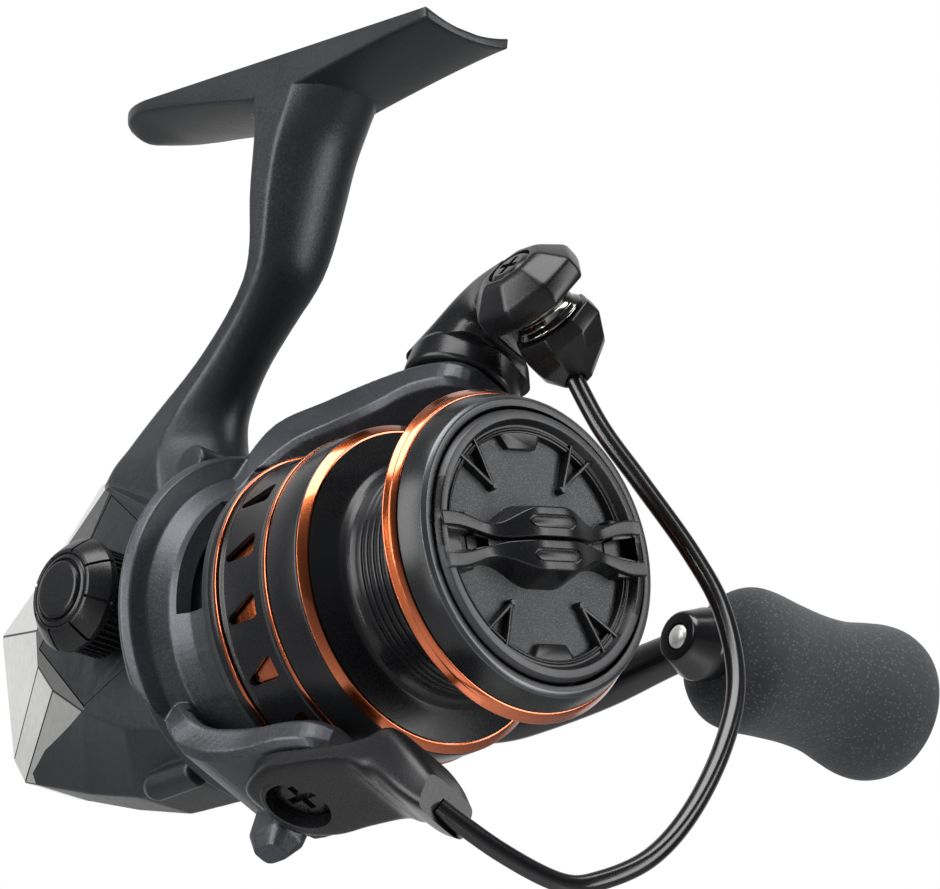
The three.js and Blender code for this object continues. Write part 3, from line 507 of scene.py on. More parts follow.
def stem():
    rings = []
    for z, front, rear, half in refined(STEM, 4):
        depth, middle = (rear - front) / 2, (front + rear) / 2
        crown = min(0.75 * half, 0.6 * depth)
        angles = [math.radians(-BOW + 6 * k) for k in range(19)]
        arc = [math.sin(a) / math.sin(math.radians(BOW)) for a in angles]
        bow = [(math.cos(a) - BOW_COSINE) / (1 - BOW_COSINE) for a in angles]
        rings.append(
            [Vector((half * a, middle - depth + crown * (1 - b), z)) for a, b in zip(arc, bow)]
            + [Vector((-half * a, middle + depth - crown * (1 - b), z)) for a, b in zip(arc, bow)]
        )
    return loft(rings)


def foot(inset=0.0):
    front, rear, tilt = FOOT_FRONT + 2 * inset, FOOT_REAR - 2 * inset, math.tan(math.radians(5))
    rings = []
    steps = 48
    for i in range(steps + 1):
        y = front + (rear - front) * i / steps
        from_tip = (y - front) / 26 if y < SEAT.y else (rear - 5 - y) / 23
        to_stem = min(1, max(0, from_tip))
        blunt = min(1, (rear + 0.8 - y) / 9)
        half = (FOOT_HALF - inset) * math.sqrt(max(0, 1 - (1 - blunt) ** 2))
        edge = SEAT.z + 1.2 + (y - SEAT.y) * tilt
        thick = 1.5 + 3.4 * to_stem ** 1.3
        points = []
        for k in range(17):
            share = -1 + k / 8
            rise = min(1, max(0, (abs(share) - 0.2) / 0.8)) ** 1.6
            dip = 1.2 * (1 - rise) * (half / FOOT_HALF) ** 2
            points.append(Vector((share * half, y, edge - inset - dip)))
        for k in range(17):
            share = 1 - k / 8
            belly = 0.9 * (1 - share ** 2)
            points.append(Vector((share * half * 0.98, y, edge - thick + inset * 0.7 - belly)))
        rings.append(points)
    return loft(rings)


def flowing(layers, along=4, across=6):
    """The same layers with more points between them, so that the skin flows without folds."""
    dense = [
        (x, [
            (y + (y1 - y) * i / along, z + (z1 - z) * i / along)
            for (y, z), (y1, z1) in zip(outline, outline[1:] + outline[:1]) for i in range(along)
        ])
        for x, outline in layers
    ]
    result = [dense[0]]
    for (x0, low), (x1, high) in zip(dense, dense[1:]):
        for i in range(1, across + 1):
            share = i / across
            result.append((x0 + (x1 - x0) * share, [
                (a[0] + (b[0] - a[0]) * share, a[1] + (b[1] - a[1]) * share) for a, b in zip(low, high)
            ]))
    return result


def gear_room():
    return moved(rod(9.3, 3.7, 6.7, MEDIUM), aim((1, 0, 0), OSCILLATION))


def cover_seat():
    return across_x(grown(COVER_OUTLINE, 0.2), HOUSING_LEFT, COVER_FLOOR)


def behind_bumper_line():
    return across_x(BUMPER_LINE, HOUSING_LEFT, HOUSING_RIGHT)


def body_frame():
    piece = housing(flowing(HOUSING_LAYERS), 1)
    join(
        piece,
        stem(),
        foot(0.45),
        lathe([(0, 47), (18.6, 47), (19.4, 47.8), (19.2, 50), (15, 52), (0, 52)], FINE),
        rod(15.2, 35.4, 47.2, MEDIUM),
        moved(lathe([(0, 9), (7.2, 9), (6.6, 13.4), (0, 13.4)], MEDIUM), aim((1, 0, 0), DRIVE)),
        moved(lathe([(0, 0), (2.5, 0), (2.7, 0.3), (2.9, 6), (0, 6)]), aim((1, 0, -0.1), (-8.4, 52.6, 24.2))),
        moved(
            lathe([(0, 0), (1.3, 0.4), (1.9, 1.6), (1.9, 9.5), (0, 9.5)]),
            aim((0, -1, 0), (-6.5, 60.5, -16.6)),
        ),
    )
    melt(piece, 0.26, 12, 0.5)
    join(piece, bevel(foot(), 0.35, 3, 40))
    return cut(
        piece,
        cut(behind_bumper_line(), stem()),
        housing(FRAME_HOLLOW, 0.885),
        cover_seat(),
        across_x(grown(COVER_OUTLINE, -2.4), HOUSING_LEFT, -2),
        lathe([(0, 34), (12.2, 34), (12.2, 43.4), (6.3, 43.4), (6.3, 46.6), (3.9, 46.6), (3.9, 60), (0, 60)]),
        moved(lathe([
            (0, -8.8), (14.5, -8.8), (14.5, -1.6), (6.8, -1.6), (6.8, 7), (5.2, 7), (5.2, 10.5), (3.4, 10.5),
            (3.4, 16), (0, 16),
        ]), aim((1, 0, 0), DRIVE)),
        gear_room(),
    )


settle("body_shell", body_frame(), "frame", "graphite", ["body_frame"], angle=50)

BUMPER_HOLLOW = [(-9.6, FACE), (-4, RIDGE), (4, RIDGE), (10, FACE)]
SEAM_REACH = 0.14
SEAM_LINES = []
for face_x, ridge_x in ((-11, -4.5), (11.5, 4.5)):
    for corner in range(2, 7):
        on_face, on_ridge = Vector((face_x, *FACE[corner])), Vector((ridge_x, *RIDGE[corner]))
        SEAM_LINES += [
            (on_face, on_ridge),
            (on_face, Vector((face_x, *FACE[corner + 1]))),
            (on_ridge, Vector((ridge_x, *RIDGE[corner + 1]))),
        ]


def rear_bumper():
    piece = cut(housing(HOUSING_LAYERS, 1), housing(BUMPER_HOLLOW, 0.94))
    boolean("INTERSECT", piece, behind_bumper_line())
    cut(piece, gear_room(), cover_seat(), stem())
    return cut(piece, *[
        moved(rod(SEAM_REACH, -0.1, (end - start).length + 0.1), aim(end - start, start))
        for start, end in SEAM_LINES
    ])


def in_seam(point):
    return any(
        (intersect_point_line(point, start, end)[0] - point).length < SEAM_REACH + 0.02
        for start, end in SEAM_LINES
    )


def beside_cover(point, normal):
    """The bumper's edge that meets the side cover."""
    return abs(normal.x) < 0.2 and -11.2 < point.x < -8.9 and point.z > -8 and point.y < 79


settle("bumper_shell", rear_bumper(), "frame", "bright_chrome", ["rear_bumper"], angle=4, paints=[
    (SEAM, lambda p, n: in_seam(p) or beside_cover(p, n)),
])


# ---- Rotor and collar ----
ARM_TOP = [  # y and z of the inside, y and z of the outside, half width
    (41.5, 9, 45.6, 9, 16), (40.4, 16, 45.6, 19, 14.2), (38, 21.6, 44.8, 27, 12.2),
    (34.6, 25.4, 39.8, 31.2, 9.6), (30.4, 28, 33.4, 33.7, 8), (26, 29.4, 26, 34.1, 7.4),
    (21, 30, 21, 34.1, 6), (18.9, 30.4, 18.9, 33.8, 3.6),
]
ARM_BOTTOM = [
    (43.9, -9, 45.6, -9, 9), (43.3, -15, 45.6, -17.4, 10.4), (40, -20, 45.6, -22, 11),
    (36.8, -22, 42, -24.2, 9.8), (33.2, -22.6, 37, -26.4, 8.8), (29, -22.8, 31.4, -27.1, 7.8),
    (25, -22.8, 25, -27.1, 7.2), (21, -22.9, 21, -27.1, 5.8), (18.9, -23.2, 18.9, -26.8, 3.6),
]
CUP = 18.8  # outer radius of the rotor's cup


def rotor_arm(stations):
    rings = []
    for y0, z0, y1, z1, half in refined(stations, 4):
        middle = Vector((0, (y0 + y1) / 2, (z0 + z1) / 2))
        reach = Vector((0, (y1 - y0) / 2, (z1 - z0) / 2))
        section = chamfered(half, reach.length, 0.9)
        rings.append([middle + Vector((a, 0, 0)) + reach.normalized() * b for a, b in section])
    return loft(rings)


def along_pivot(reach, low, high):
    return moved(rod(reach, low, high), aim((0, 0, 1), (0, PIVOT_Y, 0)))


def rotor():
    cup = lathe([
        (CUP - 1.9, 46), (24.2, 46.2), (24.6, 45.4), (24, 44.2), (21.4, 44), (CUP + 0.7, 42), (CUP, 39),
        (CUP, 26), (17.8, 24.9), (9, 24.6), (5.6, 24.6), (5.6, 26.7), (3.15, 26.7), (3.15, 29.4),
        (9, 29.2), (CUP - 1.9, 31),
    ], FINE, True)
    peg = loft([
        [Vector((5 + x, 36 + y, z)) for x, y in oval(half_x, half_y, 4, 24)]
        for z, half_x, half_y in [(-22, 3, 3.4), (-29.6, 2.6, 3.2), (-31.8, 1.5, 2)]
    ])
    arms = join(rotor_arm(ARM_TOP), rotor_arm(ARM_BOTTOM), peg)
    cut(arms, rod(21.7, 10, 41.4, FINE), rod(CUP - 1.2, 31.5, 50, FINE))
    piece = join(cup, arms)
    under_rim = [(47.9, -15.3), (44.4, -20), (41.6, -24), (39.6, -26.6), (39.6, -40), (60, -40), (60, -15.3)]
    cut(piece, across_x(under_rim, -30, 30))
    melt(piece, 0.19, 3, 0.3)
    return cut(
        piece,
        *[block((side * 23 - 8, side * 23 + 8), (31.5, 41), (-9, 9)) for side in (-1, 1)],
        along_pivot(2.05, 29.6, 40),
        along_pivot(1.95, -40, -23.4),
        moved(rod(7.8, -40, PIVOT_BOTTOM, MEDIUM), aim((0, 0, 1), (0, PIVOT_Y, 0))),
        block((-2.2, 2.2), (31, 38.6), (20, 28.6)),
    )


settle("rotor_shell", rotor(), "rotor", "rotor_grey", ["rotor"], True, angle=50)
settle("rotor_collar_band", ring(CUP + 0.15, CUP + 0.55, 26.6, 33, FINE, 0.1), "rotor", "orange_anodised",
       ["rotor_collar"], True)


# ---- Bail ----
def on_roller(piece):
    return moved(piece, aim(ROLLER_DIRECTION, ROLLER_START))


def screw(head, height, shank, length):
    body = lathe([
        (0, -length), (shank, -length), (shank, -height), (head, -height), (head, -0.3 * height),
        (head * 0.75, 0), (0, 0),
    ], SMALL, radius=0.12)
    arm, slot, depth = head * 0.6, head * 0.14, height * 0.6
    return cut(
        body,
        block((-arm, arm), (-depth, 1), (-slot, slot)),
        block((-slot, slot), (-depth, 1), (-arm, arm)),
    )


BAIL_ARM = [  # x, y, z, half width, half depth, how far the section has turned upright
    (0, 25.6, 38, 6.8, 6.6, 0), (-1.2, 23, 40.2, 5.9, 5, 0.15), (-3.2, 19.6, 41.4, 4.8, 4, 0.5),
    (-4.9, 16, 41.4, 4.3, 3.4, 0.9), (-6, 12, 41.2, 4, 3.3, 1),
]


def bail_arm():
    rings = []
    for x, y, z, half, depth, upright in refined(BAIL_ARM, 5):
        tilt = upright * math.pi / 2
        lean = Vector((0, math.cos(tilt), math.sin(tilt)))
        rings.append([Vector((x + a, y, z)) + lean * b for a, b in oval(half, depth, 4.5, 48)])
    hub = moved(
        lathe([(0, 34.5), (7, 34.5), (7.4, 34.9), (7.4, 38.2), (6.9, 39.2), (0, 39.5)], MEDIUM, radius=0.35),
        aim((0, 0, 1), (0, PIVOT_Y, 0)),
    )
    cap = bevel(on_roller(lathe([
        (0, -0.2), (4, -0.2), (4.8, 0.2), (7.5, 2.5), (7.7, 4.6), (7.4, 5.6), (0, 5.6),
    ], 8)), 0.55, 4, 10)
    return cut(
        join(hub, loft(rings), cap),
        on_roller(lathe([(0, -2), (3.1, -2), (3.1, 1.5), (1.6, 1.5), (1.6, 9), (0, 9)], MEDIUM)),
        on_roller(rod(8.5, 5.65, 15, MEDIUM)),
        along_pivot(2.05, 30, 38.3),
    )


settle("bail_arm_body", bail_arm(), "bail", "satin_black", ["bail_arm"], True, angle=32)
settle("roller_drum", on_roller(lathe([
    (2.5, 5.85), (4.7, 5.85), (4.7, 6.3), (4.1, 6.8), (4.1, 7.6), (4.7, 8.2), (4.7, 8.5), (2.5, 8.5),
], MEDIUM, True, 0.2)), "roller", "bright_chrome", ["line_roller"], True,
       paints=[(SMOKED_CHROME, everywhere)])
settle("roller_cap_screw", moved(
    screw(2.9, 1.3, 1.45, 11.6), aim(-ROLLER_DIRECTION, ROLLER_START - ROLLER_DIRECTION * 0.3),
), "bail", "steel", ["roller_screw"], True, paints=[(BLACK_SCREW, everywhere)])
settle("holder_screw", moved(
    screw(3.6, 1.1, 1.8, 6), aim((0, 0, -1), (0, PIVOT_Y, PIVOT_BOTTOM - 2.5)),
), "rotor", "satin_black", ["holder_pivot_screw"], True)

# From the cone to the holder. A scratch script solved all the points but the two ends from the photo.
WIRE = [
    (3.5, 9.6, 35.7), (8.6, 6, 28.7), (14.5, 2.3, 23.1), (21.9, -2.4, 15.9), (26.9, -5.9, 9.1),
    (30.1, -8.9, -0.5), (30.2, -10.6, -10.9), (28.3, -11.5, -22.5), (25.1, -11.3, -31.6),
    (20.3, -10, -38.1), (16.2, -8.4, -40.9), (9.1, -5, -40.5), (1.4, -0.9, -38.2),
]


def wire_socket(end, following):
    return moved(rod(1.4, -0.3, 6), aim(Vector(following) - Vector(end), end))


def bail_cone():
    stations = [
        (ROLLER_START + ROLLER_DIRECTION * 8.75, ROLLER_DIRECTION, 5.5),
        (ROLLER_START + ROLLER_DIRECTION * 10.8, ROLLER_DIRECTION, 6),
        (Vector((3.6, 9, 36.8)), Vector((0.8, -0.25, -0.5)), 4.9),
        (Vector((4.7, 8.6, 34.4)), Vector((0.5, -0.4, -0.77)), 2),
    ]
    rings = []
    for centre, direction, reach in stations:
        along = direction.normalized()
        side = Vector((0, 1, 0)).cross(along).normalized()
        up = along.cross(side)
        rings.append([centre + side * a + up * b for a, b in oval(reach, reach, 2, 8)])
    return cut(bevel(loft(rings), 0.25, 3, 12), on_roller(rod(1.6, 5, 12.4)), wire_socket(WIRE[0], WIRE[1]))


settle("bail_cone_body", bail_cone(), "bail", "satin_black", ["bail_cone"], True, angle=25)
settle("bail_wire_tube", tube(WIRE, 1.2, 14, 24), "bail", "gloss_black", ["bail_wire"], True, angle=60)

HOLDER = [  # y, x, half width, z of the inner and of the outer side
    (32.9, 0, 2.6, -27.4, -29.6), (31, 0, 5, -27.4, -30.6), (26, 0, 6.9, -27.4, -31),
    (20, 0.2, 6.8, -28.3, -31.3), (13, 0.6, 6.4, -28.8, -32.3), (9.4, 1, 6.2, -28.2, -34),
    (7, 1.3, 5.9, -27, -35.2), (3, 1.8, 5.2, -30.4, -38), (-1, 2.2, 3.9, -34.8, -40.3),
]


def bail_holder():
    rings = []
    for y, x, half, inner, outer in refined(HOLDER, 5):
        rings.append([
            Vector((x + a, y, (inner + outer) / 2 + b)) for a, b in oval(half, (inner - outer) / 2, 5, 48)
        ])
    down = aim((0, 0, 1), (0, PIVOT_Y, PIVOT_BOTTOM))
    rim = moved(lathe([(0, -3.9), (4.7, -3.9), (5.1, -3.5), (5.4, -2), (0, -2)], MEDIUM, radius=0.2), down)
    return cut(
        join(loft(rings), rim),
        moved(rod(4.2, -6, -1.2, MEDIUM), down),
        moved(rod(2.05, -4, 2), down),
        wire_socket(WIRE[-1], WIRE[-2]),
    )


settle("bail_holder_body", bail_holder(), "bail", "satin_black", ["bail_holder"], True, angle=32)


# ---- Spool ----
ARBOR_GROOVES = 8
WINDOWS = 16
WINDOW_START = 0.37  # share of a step by which the windows are turned
WINDOW = [
    (-1.2, 25.7), (1.1, 25.7), (1.5, 26.2), (1.4, 30.2), (1.0, 30.7), (0.5, 30.7), (-1.5, 26.6), (-1.5, 26),
]


def spool():
    grooves = []
    for i in range(ARBOR_GROOVES):
        y = 4.4 + i * 1.1
        grooves += [(14.5, y), (14.22, y + 0.12), (14.22, y + 0.3), (14.5, y + 0.42)]
    outline = rounded([
        (18.3, -3.5), (18.8, -3.2), (19.9, -0.1), (19.2, -0.1), (19.2, 1.7), (20.6, 1.7), (19.6, 2.3),
        (14.5, 2.6), *grooves,
        (14.5, 13.4), (14.64, 14.1), (15.0, 14.7), (15.6, 15.15), (16.4, 15.4), (19.6, 16.1), (19.2, 16.1),
        (19.2, 17.2), (20.6, 17.2), (20.75, 17.4), (20.75, 22.5), (20.3, 22.5), (20.3, 23.3), (20.75, 23.3),
        (20.75, 23.6), (20.3, 24.4), (20.3, 31), (20.6, 31.5), (20.3, 31.6), (20.3, 32.4), (20.75, 32.4),
        (20.75, 33.4), (20.4, 34.9), (20.1, 35.2), (19.7, 35), (19.7, 18.4), (13.4, 17), (1.4, 17),
        (1.4, 10), (12.7, 10), (12.7, 1.6), (17.4, 1.2), (17.4, -3.5),
    ], 0.14, True, 2)
    windows = []
    for i in range(WINDOWS):
        window = loft([[Vector((reach, y, z)) for z, y in WINDOW] for reach in (17, 23)])
        windows.append(moved(window, Matrix.Rotation(2 * math.pi * (i + WINDOW_START) / WINDOWS, 4, "Y")))
    return cut(lathe(outline, FINE, True), *windows)


def radius_of(point):
    return math.hypot(point.x, point.z)


# Painted highlight: the rear rim, the chamfer behind the front orange line and the lip's front bevel get the
# lighter grey.
settle("spool_body", spool(), "spool", "satin_black", ["spool"], angle=28, paints=[
    (CHAMFER_HIGHLIGHT_PAINT, lambda p, n: 33.35 < p.y < 34.95 and radius_of(p) > 20.2),
    (CHAMFER_HIGHLIGHT_PAINT, lambda p, n: 23.55 < p.y < 24.45 and radius_of(p) > 20.2),
    (CHAMFER_HIGHLIGHT_PAINT, lambda p, n: p.y < -3.1 and radius_of(p) > 18.2),
])
settle("lip_band", lathe([
    (19.3, 0), (20.05, 0), (20.5, 0.62), (20.42, 0.74), (20.9, 1.42), (20.8, 1.6), (19.3, 1.6),
], FINE, True, 0.12), "spool", "orange_anodised", ["lip_ring"])
settle("skirt_band", lathe([
    (19.3, 16.2), (19.8, 16.2), (20.7, 17.05), (20.65, 17.15), (19.3, 17.15),
], FINE, True, 0.1), "spool", "orange_anodised", ["skirt_ring"])
settle("skirt_line_front_band", ring(20.35, 20.88, 22.58, 23.2, FINE, 0.15), "spool", "orange_anodised",
       ["skirt_line_front"])
settle("skirt_line_rear_band", ring(20.35, 20.88, 31.7, 32.32, FINE, 0.15), "spool", "orange_anodised",
       ["skirt_line_rear"])


# ---- Drag knob ----
GRIP_REACH = 16.4
GRIP_STEPS = 60
KNOB_FLOOR_Y = -2.3
V_AT = 0.9  # the V shapes stand at this angle from both ends of the grip
V_LEAN = 0.27


def eased(share):
    share = min(1, max(0, share))
    return share * share * (3 - 2 * share)


def swell(x):
    return 1 - eased((abs(x) - 1.8) / 8.2)


def grip_ridge(side):
    rings = []
    for i in range(GRIP_STEPS + 1):
        x = -GRIP_REACH + 2 * GRIP_REACH * i / GRIP_STEPS
        spread = eased((abs(x) - 6) / 9)
        inner = 0.22 + 1.5 * spread
        width = 1.25 + 2.5 * swell(x) + 0.5 * spread
        top = -4.7 - 2.2 * swell(x)
        base = 0.5 + 0.9 * swell(x)
        section = rounded([
            (inner - 0.15, -1.6), (inner, top), (inner + width, top), (inner + width + base, -1.6),
        ], 0.22, True)
        rings.append([Vector((x, y, side * z)) for z, y in section])
    return loft(rings)


def slot_outline(grow):
    half, tall = 3.9 + grow, 0.9 + grow
    quarter = [(half, 0.3 * tall), (half - 0.5, 0.8 * tall), (half - 1.1, tall)]
    upper = quarter + [(-x, z) for x, z in reversed(quarter)]
    return upper + [(-x, -z) for x, z in upper]


def drag_knob():
    base = lathe([
        (0, -0.8), (16.6, -0.8), (17, -1.4), (17, -3.4), (16.6, -4.2), (15.6, -4.3), (15.1, -3.3),
        (14.75, -3.3), (14.65, -3.5), (14.45, -3.5), (14.35, -3.25), (14.15, -3.25), (14.0, KNOB_FLOOR_Y),
        (0, KNOB_FLOOR_Y),
    ], FINE, radius=0.12)
    ridges = [grip_ridge(side) for side in (1, -1)]
    for side, ridge in zip((1, -1), ridges):
        centre = side * 2.1
        groove = loft([[Vector((x, y, centre + z)) for x, z in slot_outline(0)] for y in (-6.45, -8)])
        island = loft([[Vector((x, y, centre + z)) for x, z in slot_outline(-0.22)] for y in (-6, -6.7)])
        cut(ridge, groove)
        join(ridge, bevel(island, 0.08, 2))
    ribs = []
    for angle in (V_AT, math.pi - V_AT, math.pi + V_AT, -V_AT):
        for lean in (-V_LEAN, V_LEAN):
            rib = bevel(loft([
                [Vector((x, -2, -0.3)), Vector((x, -2, 0.3)), Vector((x, top, 0.22)), Vector((x, top, -0.22))]
                for x, top in ((-2.75, -3.3), (1.2, -3.55), (3.6, -3.6))
            ]), 0.08, 2)
            lean_turn = Matrix.Translation((11.8, 0, -lean * 2.6)) @ Matrix.Rotation(lean, 4, "Y")
            ribs.append(moved(rib, Matrix.Rotation(angle, 4, "Y") @ lean_turn))
        apex = lathe([(0, -3.45), (0.34, -3.45), (0.46, -3.3), (0.52, -2), (0, -2)], SMALL)
        ribs.append(moved(apex, Matrix.Rotation(angle, 4, "Y") @ Matrix.Translation((9.2, 0, 0))))
    tabs = [
        bevel(loft([
            [Vector((x, y, side * z)) for x, z in [(-3.9, 14.4), (3.9, 14.4), (2.3, 12.1), (-2.3, 12.1)]]
            for y in (-2.1, -3.15)
        ]), 0.15, 2)
        for side in (1, -1)
    ]
    ends = [
        bevel(block((side * 14.2 - 2.2, side * 14.2 + 2.2), (-4.05, -2), (-3.6, 3.6)), 0.2)
        for side in (-1, 1)
    ]
    pockets = [
        loft([
            [Vector((side * x, -6, -half)), Vector((side * x, -6, half)), Vector((side * x, -2.5, half)),
             Vector((side * x, -2.5, -half))]
            for x, half in ((8.6, 0.45), (12, 1.0), (15.7, 1.5))
        ])
        for side in (-1, 1)
    ]
    valley = bevel(block((-11, 11), (-3.7, -2), (-1.6, 1.6)), 0.2)
    piece = join(base, *ends, valley)
    cut(piece, *pockets)
    join(piece, *ridges, *ribs, *tabs, rod(6.4, -1.2, 6.2, MEDIUM, 0.2))
    nut_seat = loft([[Vector((x, y, z)) for x, z in oval(3.6, 3.6, 2, 6)] for y in (1.2, 7.2)])
    cut(piece, rod(1.5, -3, 8), nut_seat)
    return moved(piece, KNOB_TURN)


settle("drag_knob_body", drag_knob(), "drag_knob", "satin_black", ["drag_knob"], angle=32, paints=[
    (KNOB_FLOOR, lambda p, n: abs(p.y - KNOB_FLOOR_Y) < 0.06 and n.y < -0.9 and radius_of(p) < 14.05),
    (KNOB_RIM, lambda p, n: p.y < -3.3 and 15.5 < radius_of(p) < 17.05 and abs(p.z) > 4.6),
])


# ---- Crank, knob and cap ----
ARM = [  # x, y, z, half width and half depth
    (14.2, 62.5, 6.8, 3.6, 3.6), (20, 62.5, 6.8, 3.4, 3.4), (38, 62.5, 6.8, 3.3, 3.3),
    (45, 60.8, 6.8, 3.4, 3.7), (48.6, 56, 6.7, 2.9, 3.9), (49.8, 49, 6.4, 2.4, 3.5),
    (50, 38, 6.3, 2.3, 3.1), (49.8, 28, 6.8, 2.2, 2.7), (49.6, 20.8, 7.1, 2.1, 2.5),
]
ARM_FACE = 46  # x of the arm's left face, where the pin shows
KNOB_END = 86


def on_crank(piece, x):
    return moved(piece, aim((1, 0, 0), (x, CRANK[1], CRANK[2])))


def crank_arm():
    rows = refined(ARM, 5)
    rings = []
    for i, row in enumerate(rows):
        along = Vector(rows[min(i + 1, len(rows) - 1)][:3]) - Vector(rows[max(i - 1, 0)][:3])
        side = Vector((along.y, -along.x, 0)).normalized()
        rings.append([
            Vector(row[:3]) + side * a + Vector((0, 0, b)) for a, b in oval(row[3], row[4], 2.4, 40)
        ])
    barrel = on_crank(lathe([
        (0, 0), (3.1, 0), (3.4, 0.4), (4.1, 2.2), (4.8, 3.8), (4.6, 5.6), (3.8, 7.2), (0, 7.2),
    ], MEDIUM, radius=0.4), ARM_FACE)
    return cut(join(loft(rings), barrel), on_crank(rod(1.75, -1, 9), ARM_FACE))


settle("crank_arm_body", crank_arm(), "crank", "gloss_black", ["crank_arm"], angle=40)
settle("crank_pin_bar", on_crank(lathe([
    (0, -0.2), (0.8, -0.15), (1.3, 0), (1.6, 0.3), (1.6, 36), (1.4, 36.2), (0, 36.2),
], SMALL), 45.9), "crank", "bright_chrome", ["crank_pin"], paints=[(PIN_END, lambda p, n: p.x < 46.3)])

KNOB_BORE = 3.15
KNOB_BORE_END = 82.6
KNOB_PROFILE = [
    (KNOB_BORE, 53.6), (5.2, 53.6), (7.5, 54.3), (9, 56.2), (9.3, 58.6), (8.9, 63), (8.6, 68), (8.8, 72.5),
    (9.6, 76.5), (10.1, 79.5), (9.9, 82), (8.7, 84.2), (5.5, 85.6), (0.01, KNOB_END),
]


def handle_knob():
    profile = [tuple(row) for row in refined(KNOB_PROFILE, 5)]
    profile[-1] = (0, KNOB_END)
    return on_crank(lathe(profile + [(0, KNOB_BORE_END), (KNOB_BORE, KNOB_BORE_END)], FINE, True), 0)


settle("handle_knob_grip", handle_knob(), "knob", "foam", ["handle_knob"], angle=40)


CAP_RIBS = 44
CAP_NOTCHES = 8
CAP_NOTCH = [(6.75, 5.2), (8, 5.2), (7, 9.5), (5, 9.5), (5, 8.0)]


def handle_cap():
    cap = lathe([
        (0, 0), (6.3, 0), (6.3, 4.5), (7.2, 4.9), (7.25, 5.9), (6.7, 6.7), (5.4, 8.1), (4.9, 8.2),
        (4.75, 7.9), (4.6, 8.2), (4.15, 8.4), (3.95, 8), (3.8, 8), (3.65, 8.7), (3.3, 8.8), (0, 8.8),
    ], FINE, radius=0.12)
    ribs = []
    for i in range(CAP_RIBS):
        rib = loft([
            [Vector((reach, y, z)) for reach, z in [(6.2, -0.26), (6.75, -0.12), (6.75, 0.12), (6.2, 0.26)]]
            for y in (0.2, 4.7)
        ])
        ribs.append(moved(rib, Matrix.Rotation(2 * math.pi * (i + 0.5) / CAP_RIBS, 4, "Y")))
    notches = []
    for i in range(CAP_NOTCHES):
        notch = loft([[Vector((reach, y, z)) for reach, y in CAP_NOTCH] for z in (-0.2, 0.2)])
        notches.append(moved(notch, Matrix.Rotation(2 * math.pi * (i + 0.5) / CAP_NOTCHES, 4, "Y")))
    return moved(cut(join(cap, *ribs), *notches), aim((-1, 0, 0), (-11.9, DRIVE[1], DRIVE[2])))


settle("handle_cap_body", handle_cap(), "crank", "satin_black", ["handle_cap"], angle=30)


# ---- CAD nodes that stay: finish and soft edges ----
def soften(node, width, angle):
    """Rounds the edges of a CAD node by a width in metres where its faces meet at more than the angle."""
    weld = node.modifiers.new("weld", "WELD")
    weld.merge_threshold = 1e-6
    edges = node.modifiers.new("bevel", "BEVEL")
    edges.width = width
    edges.segments = 3
    edges.limit_method = "ANGLE"
    edges.angle_limit = math.radians(angle)
    edges.harden_normals = True
    node.data.shade_smooth()


slots = {entry["node"]: entry["material_slot"] for entry in frame["record"]["subparts"]}
for name, node in frame["nodes"].items():
    if node.hide_render:  # a finer shape has taken its place
        continue
    node.data.materials.clear()
    node.data.materials.append(FINISHES[slots[name]])
    if name == "side_cover":
        soften(node, 0.0003, 16)
    else:
        soften(node, 0.00006, 32)


# ---- Stage, light and camera ----
def area_light(name, at, size, power):
    light = bpy.data.lights.new(name, "AREA")
    light.shape = "RECTANGLE"
    light.size, light.size_y = size
    light.energy = power
    lamp = bpy.data.objects.new(name, light)
    lamp.location = at
    lamp.rotation_euler = (MIDDLE - at).to_track_quat("-Z", "Y").to_euler()
    scene.collection.objects.link(lamp)


FLOOR_Z = -0.92
FLOOR_REACH = 6


def pale_floor():
    """Seen directly, the floor is as pale as the room. It throws no extra light on the reel."""
    material = bpy.data.materials.new("pale_floor")
    material.use_nodes = True
    nodes, links = material.node_tree.nodes, material.node_tree.links
    shader = nodes["Principled BSDF"]
    shader.inputs["Base Color"].default_value = (0.8, 0.8, 0.8, 1)
    shader.inputs["Roughness"].default_value = 0.9
    shader.inputs["Emission Color"].default_value = (1, 1, 1, 1)
    ray = nodes.new("ShaderNodeLightPath")
    paleness = nodes.new("ShaderNodeMath")
    paleness.operation = "MULTIPLY"
    paleness.inputs[1].default_value = 0.42
    links.new(ray.outputs["Is Camera Ray"], paleness.inputs[0])
    links.new(paleness.outputs[0], shader.inputs["Emission Strength"])
    return material


floor = shape("floor", [
    (x * FLOOR_REACH, y * FLOOR_REACH, FLOOR_Z) for x, y in [(-1, -1), (1, -1), (1, 1), (-1, 1)]
], [(0, 1, 2, 3)])
floor.data.materials.append(pale_floor())

# The camera as a scratch script fitted it to the spool's circles in the photo.
CAMERA_LENS = 318.35
CAMERA_AT = Vector((-0.6288, -0.7304, -0.4374))
RIGHT = Vector((0.738, -0.674, 0.016))
UP = Vector((-0.263, -0.266, 0.927))
AHEAD = Vector((0.621, 0.689, 0.374))


def seen_from(right, up, ahead):
    """A point given by how far right of, above and beyond the middle of the reel the camera sees it."""
    return MIDDLE + RIGHT * right + UP * up + AHEAD * ahead


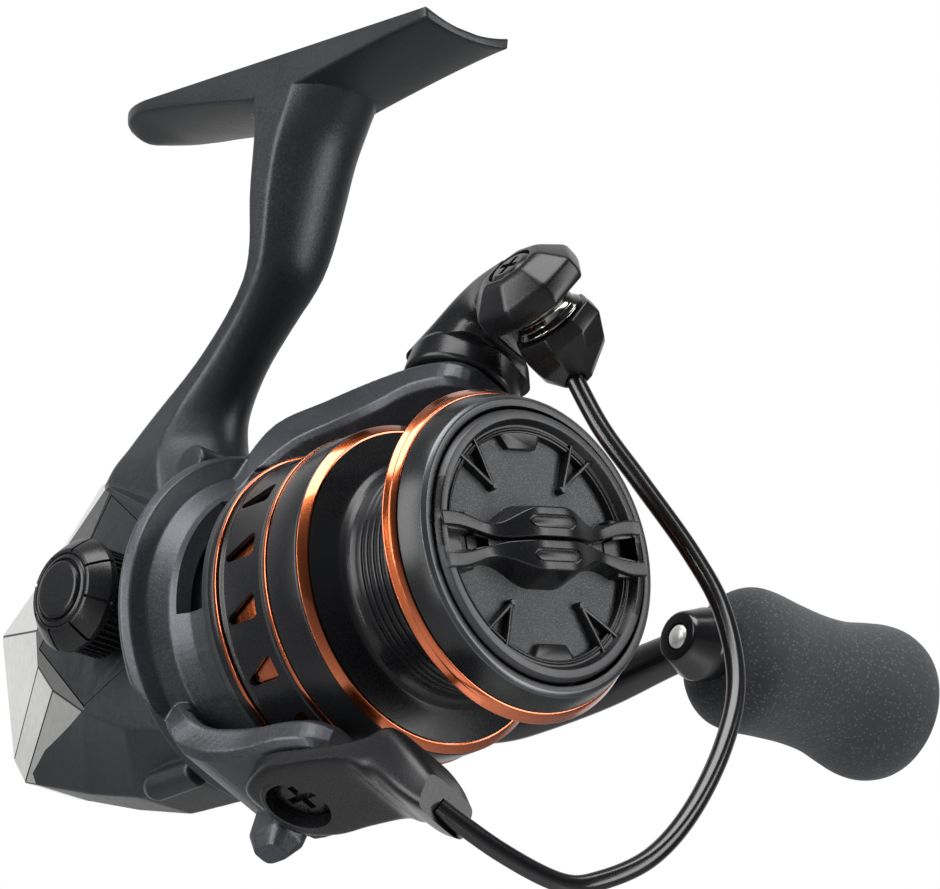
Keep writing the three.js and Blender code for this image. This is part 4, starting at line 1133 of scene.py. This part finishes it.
area_light("key_left", seen_from(-0.75, 0.35, -0.3), (0.45, 0.8), 9)
area_light("key_top", seen_from(0.0, 0.9, -0.1), (0.9, 0.5), 12)
area_light("fill_right", seen_from(0.8, 0.1, -0.2), (0.3, 0.9), 6)
area_light("strip_left", seen_from(-0.55, 0.1, -0.7), (0.06, 0.9), 3)
area_light("low_front", seen_from(0.1, -0.8, -0.3), (0.9, 0.3), 0.6)

GLOW_FROM = Vector((0.45, 0.80, 0.40)).normalized()


def studio():
    """The room is dark on the near side and white behind the reel. Seen directly, it is white all round."""
    world = bpy.data.worlds.new("studio")
    world.use_nodes = True
    nodes, links = world.node_tree.nodes, world.node_tree.links
    backdrop = nodes["Background"]
    backdrop.inputs["Color"].default_value = (1, 1, 1, 1)
    direction = nodes.new("ShaderNodeTexCoord")
    facing = nodes.new("ShaderNodeVectorMath")
    facing.operation = "DOT_PRODUCT"
    facing.inputs[1].default_value = GLOW_FROM
    links.new(direction.outputs["Generated"], facing.inputs[0])
    glow = nodes.new("ShaderNodeMapRange")
    glow.interpolation_type = "SMOOTHSTEP"
    glow.inputs["From Min"].default_value = 0.25
    glow.inputs["From Max"].default_value = 0.95
    glow.inputs["To Min"].default_value = 0.05
    glow.inputs["To Max"].default_value = 0.8
    links.new(facing.outputs["Value"], glow.inputs["Value"])
    ray = nodes.new("ShaderNodeLightPath")
    level = nodes.new("ShaderNodeMath")
    level.operation = "MAXIMUM"
    links.new(ray.outputs["Is Camera Ray"], level.inputs[0])
    links.new(glow.outputs["Result"], level.inputs[1])
    links.new(level.outputs[0], backdrop.inputs["Strength"])
    return world


scene.world = studio()
scene.view_settings.view_transform = "Standard"

camera_data = bpy.data.cameras.new("camera")
camera_data.lens = CAMERA_LENS
camera_data.sensor_width = 36
camera_data.clip_end = 20
camera = bpy.data.objects.new("camera", camera_data)
camera.matrix_world = Matrix((
    (RIGHT.x, UP.x, -AHEAD.x, CAMERA_AT.x),
    (RIGHT.y, UP.y, -AHEAD.y, CAMERA_AT.y),
    (RIGHT.z, UP.z, -AHEAD.z, CAMERA_AT.z),
    (0, 0, 0, 1),
))
scene.collection.objects.link(camera)
scene.camera = camera

bpy.context.view_layer.update()
